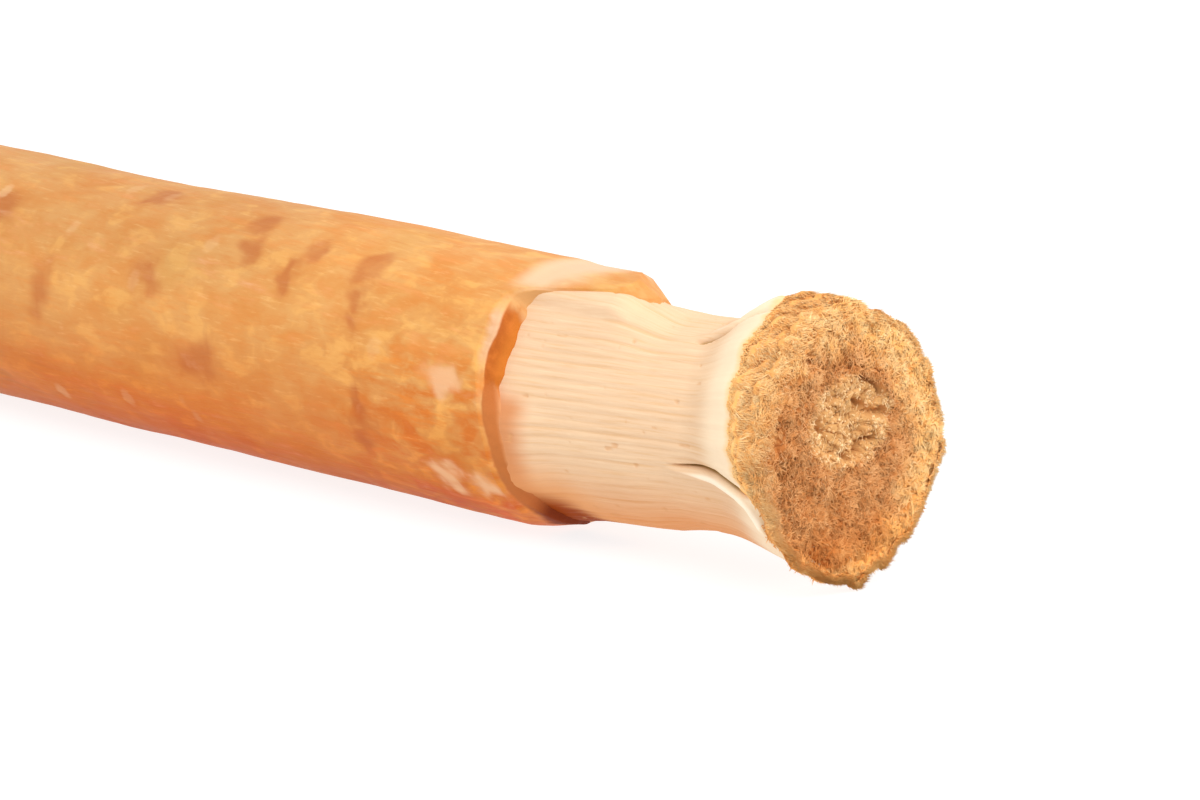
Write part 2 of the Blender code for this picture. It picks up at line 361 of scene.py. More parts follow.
def straight(x, radius, angle, stretch=1.0):
    """The same places with the stick straight and its length divided by stretch, for reading noise at."""
    return np.stack(np.broadcast_arrays(x / stretch, *across(radius, angle)), axis=-1)


def head_reach(angle):
    """How far the brush stands out from the middle line, tufts included."""
    return listed(HEAD_REACH, 1, angle) + TUFT_DEPTH * waves(0.0, angle, 37, 1.0, (9, 24))


def from_knob(side, up):
    """Distance from the middle of the pale lump in the pith, shorter up and down than to the side."""
    return np.hypot(side - KNOB[0], (up - KNOB[1]) / KNOB_STRETCH)


def knob_share(side, up):
    """The pale lump in the pith: a bell over the distance from its middle."""
    return hump(from_knob(side, up), 0.0, KNOB_WIDTH)


def from_pith(side, up):
    """Distance from the pith's middle, 1 at its edge."""
    return np.hypot((side - PITH[0]) / PITH_RADII[0], (up - PITH[1]) / PITH_RADII[1])


def face_relief(side, up):
    """Slow lumps over the brush's face, the sunken pith and the pale lump in it."""
    lumps = FACE_LUMP * ripples(side, up, 41, 1.2, 2.6)
    return lumps - PITH_DEPTH * eased((1.0 - from_pith(side, up)) / 0.4) + KNOB_HEIGHT * knob_share(side, up)


def wood_end(angle):
    """Where the wood gives way to the brush, with an uneven edge."""
    edge = listed(FLARE, 2, angle)
    return edge + 0.12 * waves(0.0, angle, 43, 1.0, (7, 40)) * eased((74.2 - edge) / 0.8)


def flare_share(x, angle):
    """How far the wood has opened out towards the brush, 0 to 1."""
    start, end = listed(FLARE, 1, angle), wood_end(angle)
    return eased((x - start) / (end - start))


def neck_plain(x, angle):
    """Peeled wood before its grooves: a lowered round with a shoulder that opens out to the brush."""
    plain = listed(NECK, 1, x) - listed(NECK, 2, x) * np.cos(np.radians(angle))
    middle, half_width, height = SHOULDER
    last, gone = SHOULDER_END
    plain = plain + height * hump(angle, middle, half_width) * eased((gone - x) / (gone - last))
    plain = plain + SHELF_HEIGHT * between(angle, *SHELF_ANGLES, 5.0) * between(x, *SHELF_LENGTH, 1.2)
    bank = between(angle, *BANK_ANGLES, 16.0) * (1.0 - eased((x - BANK_END[0]) / (BANK_END[1] - BANK_END[0])))
    plain = plain + BANK_HEIGHT * bank
    return plain + (head_reach(angle) * SHANK_REACH - plain) * flare_share(x, angle)


def spread(marks, x, angle, seed):
    """The strength from 0 to 1 of a list of soft marks, their edges pushed about by noise."""
    points = straight(x, BARK_RADIUS, angle)
    pushed_x = x + 0.5 * rough(points, 0.9, seed, 3)
    pushed = angle + 6.0 * rough(points, 0.9, seed + 7, 3)
    total = 0.0
    for at, turn, half_length, half_width in marks:
        apart = np.abs((pushed - turn + 180.0) % 360.0 - 180.0)
        total = np.maximum(total, np.exp(-(((pushed_x - at) / half_length) ** 2 + (apart / half_width) ** 2)))
    return total


def fill_mesh(name, points, quads, triangles, marks, normals=None):
    """A smooth mesh from arrays of points, quads and triangles, with one number per point for each mark and,
    where they are given, its own normals to be lit by."""
    mesh = bpy.data.meshes.new(name)
    mesh.from_pydata(points.tolist(), [], quads.tolist() + triangles.tolist())
    for mark, values in marks.items():
        mesh.attributes.new(mark, "FLOAT", "POINT").data.foreach_set("value", values.astype(np.float32))
    mesh.shade_smooth()
    mesh.update()
    if normals is not None:
        mesh.normals_split_custom_set_from_vertices(normals.tolist())
    piece = bpy.data.objects.new(name, mesh)
    bpy.context.collection.objects.link(piece)
    return piece


def closed_tube(name, points, marks):
    """A body from rings of points, rows along it and columns around, each end closed in a point."""
    rows, columns = points.shape[:2]
    index = np.arange(rows * columns).reshape(rows, columns)
    after = np.roll(index, -1, axis=1)
    quads = np.stack([index[:-1], after[:-1], after[1:], index[1:]], axis=-1).reshape(-1, 4)
    near = np.full(columns, rows * columns)
    first = np.stack([after[0], index[0], near], axis=-1)
    last = np.stack([index[-1], after[-1], near + 1], axis=-1)
    everything = np.concatenate([points.reshape(-1, 3), points[[0, -1]].mean(axis=1)])
    filled = {}
    for mark, values in marks.items():
        values = np.broadcast_to(values, (rows, columns))
        filled[mark] = np.concatenate([values.reshape(-1), values[[0, -1]].mean(axis=1)])
    return fill_mesh(name, everything, quads, np.concatenate([first, last]), filled)


def fibres(name, roots, ways, out, lengths, widths, marks, outwards):
    """Many thin three-sided fibres in one mesh, each a ring of three points at its root and a tip at root +
    way times length. The normals they are lit by are outwards times the way out, plus the fibre's own."""
    count = len(roots)
    across = unit(np.cross(ways, out))
    other = np.cross(ways, across) * FLATNESS
    turn = np.arange(3) * 2.0 * math.pi / 3.0 + math.pi / 2.0
    around = across[:, None] * np.cos(turn)[:, None] + other[:, None] * np.sin(turn)[:, None]
    ring = roots[:, None] + around * (widths / 2.0)[:, None, None]
    points = np.concatenate([ring, (roots + ways * lengths[:, None])[:, None]], axis=1)
    points[..., 2] = np.maximum(points[..., 2], 0.0)
    rounded = unit(outwards * out[:, None] + unit(around))
    tip_normals = unit((0.5 + outwards) * out + ways)[:, None]
    normals = np.concatenate([rounded, tip_normals], axis=1).reshape(-1, 3)
    faces = np.array([[0, 1, 3], [1, 2, 3], [2, 0, 3], [2, 1, 0]])
    triangles = (faces[None] + np.arange(count)[:, None, None] * 4).reshape(-1, 3)
    filled = {mark: np.repeat(values, 4) for mark, values in marks.items()}
    filled["tip"] = np.tile([0.0, 0.0, 0.0, 1.0], count)
    return fill_mesh(name, points.reshape(-1, 3), np.zeros((0, 4), int), triangles, filled, normals)


def crumb_bodies(name, middles, sizes, seed, marks):
    """Many lumpy crumbs in one mesh: a ball of four rings and two poles, its points pushed in and out."""
    draw = np.random.default_rng(seed)
    rings, columns = 4, 7
    down = (np.arange(rings) + 1.0) * math.pi / (rings + 1.0)
    turn = np.arange(columns) * 2.0 * math.pi / columns
    ball = np.stack([np.outer(np.sin(down), np.cos(turn)), np.outer(np.sin(down), np.sin(turn)),
                     np.repeat(np.cos(down)[:, None], columns, axis=1)], axis=-1).reshape(-1, 3)
    ball = np.concatenate([ball, [[0.0, 0.0, 1.0], [0.0, 0.0, -1.0]]])
    count, each = len(middles), len(ball)
    pushed = ball[None] * draw.uniform(0.72, 1.2, (count, each, 1)) * draw.uniform(0.6, 1.25, (count, 1, 3))
    points = middles[:, None] + pushed * sizes[:, None, None]
    index = np.arange(rings * columns).reshape(rings, columns)
    after = np.roll(index, -1, axis=1)
    quads = np.stack([index[1:], after[1:], after[:-1], index[:-1]], axis=-1).reshape(-1, 4)
    top, bottom = np.full(columns, each - 2), np.full(columns, each - 1)
    cap = np.stack([index[0], after[0], top], axis=-1)
    base_cap = np.stack([after[-1], index[-1], bottom], axis=-1)
    triangles = np.concatenate([cap, base_cap])
    first = np.arange(count)[:, None, None] * each
    filled = {mark: np.repeat(values, each) for mark, values in marks.items()}
    return fill_mesh(name, points.reshape(-1, 3), (quads[None] + first).reshape(-1, 4),
                     (triangles[None] + first).reshape(-1, 3), filled)


def finish_piece(piece, material):
    """The piece gets its material, rides on the stick's body and stands for the solid."""
    piece.data.materials.append(material)
    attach(piece, BODY)
    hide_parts(NODE)


class Paint:
    """A socket of a material's node tree. + - * / with numbers or other sockets add Math nodes."""

    def __init__(self, tree, socket=None):
        self.tree = tree
        self.socket = socket

    def node(self, kind, settings=None, inputs=None, output=0):
        """Adds a node, gives it its settings, then the values or links of its sockets."""
        made = self.tree.nodes.new("ShaderNode" + kind)
        for key, value in (settings or {}).items():
            setattr(made, key, value)
        for key, value in (inputs or {}).items():
            if isinstance(value, Paint):
                self.tree.links.new(value.socket, made.inputs[key])
            else:
                made.inputs[key].default_value = value
        return Paint(self.tree, made.outputs[output])

    def math(self, operation, *values):
        return self.node("Math", {"operation": operation}, dict(enumerate(values)))

    def __add__(self, other):
        return self.math("ADD", self, other)

    def __radd__(self, other):
        return self.math("ADD", other, self)

    def __sub__(self, other):
        return self.math("SUBTRACT", self, other)

    def __rsub__(self, other):
        return self.math("SUBTRACT", other, self)

    def __mul__(self, other):
        return self.math("MULTIPLY", self, other)

    def __rmul__(self, other):
        return self.math("MULTIPLY", other, self)

    def band(self, low, high):
        """0 below low, 1 above high and a soft step between them."""
        return self.node("MapRange", {"interpolation_type": "SMOOTHSTEP"},
                         {"Value": self, "From Min": low, "From Max": high, "To Min": 0.0, "To Max": 1.0})

    def mark(self, name):
        """One number per point, stored on the mesh."""
        return self.node("Attribute", {"attribute_name": name}, output=2)

    def place(self, stretch=(1.0, 1.0, 1.0)):
        """Object coordinates in millimetres, divided by a stretch along each axis."""
        found = self.node("TexCoord", output=3)
        scale = tuple(1.0 / MM / s for s in stretch)
        return self.node("Mapping", inputs={"Vector": found, "Scale": scale})

    def noise(self, size, stretch=(1.0, 1.0, 1.0), detail=3.0, roughness=0.5, distortion=0.0, at=None):
        """Noise from 0 to 1 with features of a size in millimetres, read at Object coordinates unless others
        are given."""
        return self.node("TexNoise", inputs={"Vector": at or self.place(stretch), "Scale": 1.0 / size,
                                             "Detail": detail, "Roughness": roughness,
                                             "Distortion": distortion})

    def lumps(self, size, stretch=(1.0, 1.0, 1.0)):
        """Distance from 0 to about 1 to scattered points a size apart."""
        return self.node("TexVoronoi", inputs={"Vector": self.place(stretch), "Scale": 1.0 / size})

    def mix(self, share, first, second, kind="MIX"):
        """The first colour where share is 0 and the second where it is 1."""
        return self.node("Mix", {"data_type": "RGBA", "blend_type": kind},
                         {0: share, 6: first, 7: second}, output=2)

    def coat(self, share, over, kind="MIX"):
        """This colour with another laid over it by a share from 0 to 1."""
        return self.mix(share, self, over, kind)

    def bump(self, height, distance, strength):
        """A normal from a height, whose 1 stands for a distance in millimetres."""
        return self.node("Bump", inputs={"Strength": strength, "Distance": distance * MM, "Height": height})


def new_material(name):
    """An empty Principled material and its node tree as paint."""
    material = bpy.data.materials.new(name)
    material.use_nodes = True
    return material, Paint(material.node_tree)


def dress(material, colour, roughness, normal, specular):
    """Links a colour, a roughness and a normal to the shader and sets its constant sockets."""
    shader = material.node_tree.nodes["Principled BSDF"]
    links = material.node_tree.links
    links.new(colour.socket, shader.inputs["Base Color"])
    links.new(roughness.socket, shader.inputs["Roughness"])
    links.new(normal.socket, shader.inputs["Normal"])
    shader.inputs["Specular IOR Level"].default_value = specular
    shader.inputs["Metallic"].default_value = 0.0


def tone(red, green, blue):
    """A colour given as it looks on a screen, 0 to 255, as linear light."""
    return tuple(((c / 255 + 0.055) / 1.055) ** 2.4 for c in (red, green, blue))


def colour_property(name, description, shade):
    return FloatVectorProperty(name=name, description=description, subtype="COLOR", size=3, min=0.0, max=1.0,
                               default=tone(*shade))


def opaque(colour):
    return (*colour, 1.0)


def stain(name):
    """One of the shades that only one finish uses, as linear light."""
    return opaque(tone(*STAINS[name]))


def length_property(name, description, size):
    """A length, given in millimetres."""
    return FloatProperty(name=name, description=description, default=size * MM, min=0.0, unit="LENGTH",
                         subtype="DISTANCE", precision=6)


def count_property(name, description, count, fewest, most):
    return IntProperty(name=name, description=description, default=count, min=fewest, max=most)


class StickSizes(bpy.types.PropertyGroup):
    """Sizes that a user would change."""

    bark_wrinkle: length_property("Bark wrinkles", "Depth of the bark's lengthwise wrinkles", 0.05)
    groove_depth: length_property("Grooves", "Depth of the grooves in the peeled wood", 0.055)
    groove_count: count_property("Groove count", "Grooves around the peeled wood", 74, 8, 120)
    bristle_count: count_property("Bristles", "Fibre tips on the brush's face", 47000, 100, 49000)
    tuft_count: count_property("Rim fibres", "Fibres around the brush's side", 38000, 100, 49000)
    bristle_length: length_property("Bristle length", "Length of a fibre tip on the face", 0.34)
    bristle_width: length_property("Bristle width", "Width of a fibre at its root", 0.055)
    crumb_count: count_property("Pith crumbs", "Crumbs in the pith", 1500, 10, 3000)
    crumb_size: length_property("Crumb size", "Mean radius of a pith crumb", 0.06)


class StickColours(bpy.types.PropertyGroup):
    """Colours that a user would change."""

    bark: colour_property("Bark", "Main colour of the bark", (214, 156, 90))
    bark_deep: colour_property("Deep bark", "Bark in its darker streaks", (206, 132, 60))
    bark_brown: colour_property("Bark blotches", "Reddish-brown blotches", (186, 106, 52))
    bark_olive: colour_property("Olive tint", "Dull tint in the bark", (202, 152, 78))
    flake: colour_property("Flaked bark", "Pale patches where the bark has flaked", (226, 180, 138))
    rim: colour_property("Cut rim", "Pale cut rim of the bark", (212, 166, 130))
    slot: colour_property("Rust face", "Cut face of the bark", (198, 114, 40))
    ring_line: colour_property("Brown line", "Edge of the bark against the wood", (184, 108, 54))
    wood: colour_property("Peeled wood", "Main colour of the peeled wood", (227, 192, 156))
    wood_groove: colour_property("Wood grooves", "Peeled wood in its grooves", (222, 180, 136))
    flare: colour_property("Wood flare", "Pale wood beside the brush", (247, 224, 192))
    brush_rim: colour_property("Brush rim", "Outer ring of the brush", (255, 216, 154))
    brush_rim_deep: colour_property("Deep brush rim", "Outer ring between its tufts", (250, 184, 108))
    brush_ring: colour_property("Brush ring", "Middle ring of the brush", (234, 174, 116))
    brush_ring_deep: colour_property("Deep brush ring", "Middle ring in its pores", (208, 134, 74))
    pith: colour_property("Pith", "Crumbly pith", (250, 216, 166))
    pith_deep: colour_property("Deep pith", "Pith in its crevices", (210, 158, 100))


def sizes():
    return bpy.context.scene.stick_sizes


def colours():
    return bpy.context.scene.stick_colours


def bark_rings():
    """The bark's rings as x, radius, angle and how far each has gone over its edge: 0 on the outside, 1 at
    the foot of its cut rim and 2 at the foot of its cut face. The rows come closer together towards the
    cut: x runs to it as 1 less a power of what is left."""
    columns, rows = 248, 300
    around = circle(columns)[None, :]
    wobble = 0.09 * rough(straight(60.0, BARK_RADIUS, around), 1.3, 71, 3)
    end = listed(BARK_END, 1, around) + wobble
    width, drop = listed(BEVEL, 1, around), listed(BEVEL, 2, around)
    share = 1.0 - (1.0 - np.linspace(0.0, 1.0, rows)[:, None]) ** 1.6
    first = -HALF + 0.35
    x = first + (end - first) * share
    bevel = np.linspace(0.0, 1.0, 8)[1:, None]
    bevel_x = end + width * bevel
    bevel_radius = bark_radius(bevel_x, around) - drop * bevel
    face = np.linspace(0.0, 1.0, 10)[1:, None]
    foot_way = EDGE_FOOT + 0.35 * hump(around, 38.5, 6.0) + 0.26 * between(around, 38.0, 76.0, 8.0)
    foot_way = foot_way + 0.34 * between(around, 84.0, 138.0, 14.0)
    foot = neck_plain(end + width + foot_way, around) - 0.12
    lip = bevel_radius[-1:]
    start = np.array([[1.3], [0.15], [0.0], [0.03], [0.1], [0.25]])
    start_in = np.array([[0.6], [0.3], [0.25], [0.12], [0.03], [0.0]])
    parts = [(-HALF + start, bark_radius(-HALF, around) - start_in, 0.0),
             (x, bark_radius(x, around), 0.0),
             (bevel_x, bevel_radius, bevel),
             (end + width + foot_way * face, lip + (foot - lip) * face, 1.0 + face),
             (end + width - 0.4, foot - 1.2, 2.0)]
    x, radius, edge = (np.concatenate([np.broadcast_to(part[k], part[1].shape) for part in parts])
                       for k in range(3))
    return x, radius, np.broadcast_to(around, x.shape), edge


def bark_creases(x, radius, angle):
    """Lengthwise creases, 0 to 1: where long noise crosses its middle, open in some places, and fewer of them
    near the brush."""
    away = 0.25 + 0.75 * eased((40.0 - x) / 18.0)
    lines = cloud(straight(x, radius, angle, 9.0), 1.15, 121)
    lines = lines + 0.35 * cloud(straight(x, radius, angle, 4.0), 0.5, 123)
    open_here = eased(0.5 + 1.6 * cloud(straight(x, radius, angle, 2.0), 4.2, 127))
    return eased((0.16 - np.abs(lines)) / 0.16) * open_here * away


def bark_surface():
    """The bark: its rings with wrinkles along the stick, creases, sunken flakes and a ragged slot."""
    x, radius, angle, edge = bark_rings()
    outside = eased((1.3 - edge) / 0.5)
    depth = sizes().bark_wrinkle / MM
    wrinkles = rough(straight(x, radius, angle, 3.5), 0.9, 101, 3)
    slow = cloud(straight(x, radius, angle, 2.0), 2.6, 107)
    flakes = spread(FLAKES, x, angle, 131)
    blotches = spread(BLOTCHES, x, angle, 151)
    crease = bark_creases(x, radius, angle) * outside
    bumps = rough(straight(x, radius, angle, 1.5), 3.4, 109, 2)
    relief = (depth * (0.6 * wrinkles + 0.6 * slow) + 0.05 * bumps) * outside
    relief = relief - 0.03 * eased(flakes * 1.6 - 0.2) - 0.025 * blotches - 1.1 * depth * crease
    cut = eased((edge - 0.9) / 0.3)
    relief = relief + 0.05 * cut * rough(straight(x, radius, angle), 0.35, 113, 2) * eased((2.0 - edge) / 0.2)
    ragged = angle + 5.0 * rough(straight(x, radius, angle), 0.4, 117, 3)
    slot = between(ragged, 42.0, 79.0, 7.0) * cut
    marks = {"edge": edge, "flake": flakes, "blotch": blotches, "slot": slot, "angle": angle / 180.0,
             "along": x, "crease": crease}
    return place(x, radius + relief, angle), marks


def bark_material():
    """Orange-tan bark: streaks and mottling stretched along the stick, blotches, flakes, a pale cut rim and
    a rust or brown cut face, with painted shade low down and away from the brush, and a cut line painted
    lighter on top and darker underneath as painted light and shade."""
    shade = colours()
    material, paint = new_material("miswak_bark")
    edge, angle, along = paint.mark("edge"), paint.mark("angle"), paint.mark("along")
    streaks = paint.noise(0.45, (6.0, 1.0, 1.0), 4.0, 0.6)
    fine = paint.noise(0.16, (7.0, 1.0, 1.0), 3.0, 0.6)
    mottle = paint.noise(1.9, (1.6, 1.0, 1.0), 4.0, 0.55)
    patches = paint.noise(0.9, (1.8, 1.0, 1.0), 4.0, 0.5, 0.4)
    wide = paint.noise(6.0, (1.5, 1.0, 1.0), 2.0)
    turned = paint.math("ABSOLUTE", angle)
    near_cut = along.band(50.0, 58.0) * (0.2 + 0.8 * turned.band(0.3, 0.5))
    colour = paint.mix(mottle.band(0.38, 0.68) * 0.55, opaque(shade.bark), opaque(shade.bark_deep))
    colour = colour.coat((patches + near_cut * 0.03).band(0.46, 0.66) * (0.22 + 0.7 * near_cut),
                         stain("rust patch"))
    colour = colour.coat(patches.band(0.48, 0.32) * (0.4 + 0.5 * near_cut), stain("pale patch"))
    colour = colour.coat(streaks.band(0.48, 0.72) * (0.35 + 0.5 * near_cut), stain("orange streak"))
    colour = colour.coat(fine.band(0.52, 0.75) * 0.3, stain("dark fleck"))
    colour = colour.coat((1.0 - fine).band(0.55, 0.78) * 0.35, stain("pale fleck"))
    colour = colour.coat(wide.band(0.5, 0.72) * 0.5, opaque(shade.bark_olive))
    colour = colour.coat((paint.mark("blotch") + (mottle - 0.5) * 0.8).band(0.1, 1.0) * 0.75,
                         opaque(shade.bark_brown))
    # Painted shade: the bark darker and deeper orange on its lower side.
    colour = colour.coat(turned.band(0.32, 0.88), BARK_LOW_SHADE, "MULTIPLY")
    # Painted shade at the bark's low edge beside the cut.
    low_edge_shade = angle.band(0.64, 0.86) * along.band(59.5, 57.5)
    colour = colour.coat(low_edge_shade, BARK_EDGE_SHADE, "MULTIPLY")
    # Painted shade: darker away from the brush, on top and at the side.
    colour = colour.coat(along.band(52.0, 43.0) * turned.band(0.42, 0.24), BARK_AWAY_TOP_SHADE, "MULTIPLY")
    colour = colour.coat(along.band(50.0, 43.0) * angle.band(0.52, 0.66), BARK_AWAY_SIDE_SHADE, "MULTIPLY")
    crease = paint.mark("crease")
    colour = colour.coat((crease + (fine - 0.5) * 0.6).band(0.1, 1.0) * 0.6, stain("crease"))
    slow_turn = paint.noise(14.0, (1.6, 1.0, 1.0), 2.0)
    away = along.band(40.0, 20.0)
    colour = colour.coat(slow_turn.band(0.42, 0.66) * away * 0.5, stain("weathered bark"))
    scars = paint.lumps(3.4, (0.8, 1.0, 1.0))
    spots = (scars + (fine - 0.5) * 0.12).band(0.17, 0.08) * (0.3 + 0.7 * away)
    colour = colour.coat(spots * 0.6, stain("bark pore"))
    flaked = (paint.mark("flake") + (patches - 0.5) * 1.2 + (streaks - 0.5) * 0.5).band(0.12, 0.95)
    colour = colour.coat(flaked * 0.85, paint.mix(fine, opaque(shade.flake), stain("flake edge")))
    tongue = along.band(59.2, 60.2) * (1.0 - edge.band(0.9, 1.1)) * turned.band(0.2, 0.13)
    bare = tongue * (along + mottle * 2.0 + turned * 6.0).band(64.6, 62.6)
    colour = colour.coat(bare * 0.9, stain("scraped tongue"))
    patchy = (1.0 - 0.9 * angle.band(0.33, 0.42)) * (0.5 + 0.5 * angle.band(0.23, 0.28))
    rim = (edge + (streaks - 0.5) * 1.2).band(0.0, 0.7) * patchy * (0.75 - 0.5 * along.band(62.0, 63.5))
    rim = rim * (0.45 + 0.55 * turned.band(0.2, 0.27))
    rim_colour = paint.mix(streaks.band(0.3, 0.8), opaque(shade.rim), stain("pale rim"))
    colour = colour.coat(rim, rim_colour)
    beside_tongue = along.band(60.9, 61.8) * (1.0 - turned.band(0.22, 0.3))
    lower = angle.band(0.43, 0.5)
    cut = (edge + lower * 0.6 + (streaks - 0.5) * 0.4 * lower).band(1.02, 1.14 + 0.3 * lower)
    cut = cut * (1.0 - 0.85 * beside_tongue)
    line_colour = paint.mix(edge.band(1.45, 2.0), opaque(shade.ring_line), stain("line at the wood"))
    # The brown cut line paler on top as painted light, and darker below and underneath as painted shade.
    line_colour = line_colour.coat(angle.band(0.25, 0.21), stain("lit line on top"))
    line_colour = line_colour.coat(turned.band(0.67, 0.77), stain("shaded line below"))
    line_colour = line_colour.coat(turned.band(0.75, 0.82), stain("line in shadow underneath"))
    slot_colour = paint.mix(edge.band(1.15, 1.8), stain("slot at the rim"), opaque(shade.slot))
    slot_colour = slot_colour.coat(streaks.band(0.4, 0.75) * 0.4, stain("slot streak"))
    colour = colour.coat(cut, paint.mix(paint.mark("slot"), line_colour, slot_colour))
    roughness = 0.42 + 0.2 * mottle + 0.15 * cut
    height = streaks * 0.6 + fine * 0.4
    normal = paint.bump(height, 0.05, 0.8)
    dress(material, colour, roughness, normal, 0.12)
    return material


def wood_grid():
    """The peeled wood's places as x and angle. Its columns crowd where the splits run: their angles follow
    the sum of one, two bells and a step. Its last rows run on under the brush."""
    columns, rows = 400, 226
    fine = np.linspace(-180.0, 180.0, 2881)
    crowd = 1.0 + 3.0 * hump(fine, 104.0, 9.0) + 1.6 * hump(fine, 22.0, 10.0)
    crowd = crowd + 0.5 * between(fine, -20.0, 150.0, 20.0)
    total = np.concatenate([[0.0], np.cumsum((crowd[1:] + crowd[:-1]) / 2.0)])
    around = np.interp(np.arange(columns) / columns * total[-1], total, fine)[None, :]
    shank = wood_end(around)
    share = np.linspace(0.0, 1.0, rows)[:, None]
    x = WOOD_START + (shank + 0.35 - WOOD_START) * share
    x = np.minimum(x, shank + 0.3 * (x - shank))
    return x, np.broadcast_to(around, x.shape)


def wood_grain(points, x, twisted):
    """Grooves along the turned grain, each with its own strength from 0 to 1, and finer threads between."""
    stretched = straight(x, WOOD_RADIUS, twisted, 9.0)
    wander = 0.8 * cloud(points / np.array([5.0, 2.0, 2.0]), 1.0, 211)
    turn = (twisted + wander) / 360.0 * sizes().groove_count
    own = 0.35 + 0.65 * hashed(np.stack([np.floor(turn + 0.5).astype(np.int64)] * 3, axis=-1), 217)
    ridge = (0.5 + 0.5 * np.cos(2.0 * math.pi * turn)) ** 2.2
    patchy = 0.6 + 0.4 * eased(0.5 + 1.4 * cloud(stretched * 3.0, 1.0, 219))
    return own * ridge * patchy, cloud(stretched * np.array([1.0, 5.5, 5.5]), 1.0, 221)


def wood_splits(x, angle, end):
    """Bells over the angle from the lines of the splits, 0 to 1: the lower split, the hollow under it and the
    lip beside it, then the upper split and its lip."""
    split = hump(angle, listed(LOWER_SPLIT, 1, x), 0.6 + 0.6 * eased((x - 69.3) / 2.5))
    lower = between(x, 69.3, 73.6, 1.5) * split
    under = between(x, 69.2, 73.6, 0.9) * hump(angle, listed(LOWER_SPLIT, 1, x) - 2.2, 2.6)
    raised = hump(angle, listed(LIP, 1, x) + 0.8, 1.0 + 2.4 * eased((x - 68.8) / 3.0))
    lip = between(x, 68.8, 74.4, 1.1) * raised * eased((end + 0.1 - x) / 0.5)
    lip = lip * (0.35 + 0.65 * eased((x - 68.8) / 3.0))
    upper = between(x, 68.6, 71.0, 0.8) * hump(angle, listed(UPPER_SPLIT, 1, x), 1.3)
    upper_lip = between(x, 68.6, 71.4, 1.0) * hump(angle, listed(UPPER_SPLIT, 1, x) - 6.0, 4.5)
    return lower, under, lip, upper, upper_lip


def wood_surface():
    """The peeled wood: the plain neck with fine wavy grooves, nicks, two splits and a raised lip."""
    x, angle = wood_grid()
    end, opened = wood_end(angle), flare_share(x, angle)
    points = straight(x, WOOD_RADIUS, angle)
    twisted = angle + TWIST * (x - TWIST_MIDDLE)
    groove, threads = wood_grain(points, x, twisted)
    depth = sizes().groove_depth / MM
    relief = -depth * (groove + 0.4 * threads) * (1.0 - 0.55 * opened)
    relief = relief * (0.25 + 0.75 * eased((x - 61.0) / 1.6)) + 0.03 * cloud(points, 1.6, 223)
    nicks = eased((cloud(points / np.array([2.0, 1.0, 1.0]), 0.22, 227) - 0.74) / 0.15) * (1.0 - opened)
    relief = relief - 0.035 * nicks
    lower, under, lip, upper, upper_lip = wood_splits(x, angle, end)
    relief = relief - 0.34 * lower - 0.1 * under + 0.26 * lip - 0.26 * upper + 0.14 * upper_lip
    tail = eased((x - end - 0.01) / 0.1)
    radius = (neck_plain(x, angle) + relief) * (1.0 - 0.3 * tail)
    grain_side, grain_up = across(WOOD_RADIUS, twisted)
    marks = {"groove": groove * (1.0 - 0.6 * opened), "opened": opened, "split": np.maximum(lower, upper),
             "lip": np.maximum(lip, upper_lip * 0.5), "nick": nicks, "along": x, "angle": angle / 180.0,
             "end": eased((x - end + 0.7) / 0.7), "grain_side": grain_side, "grain_up": grain_up}
    return place(x, radius, angle), marks


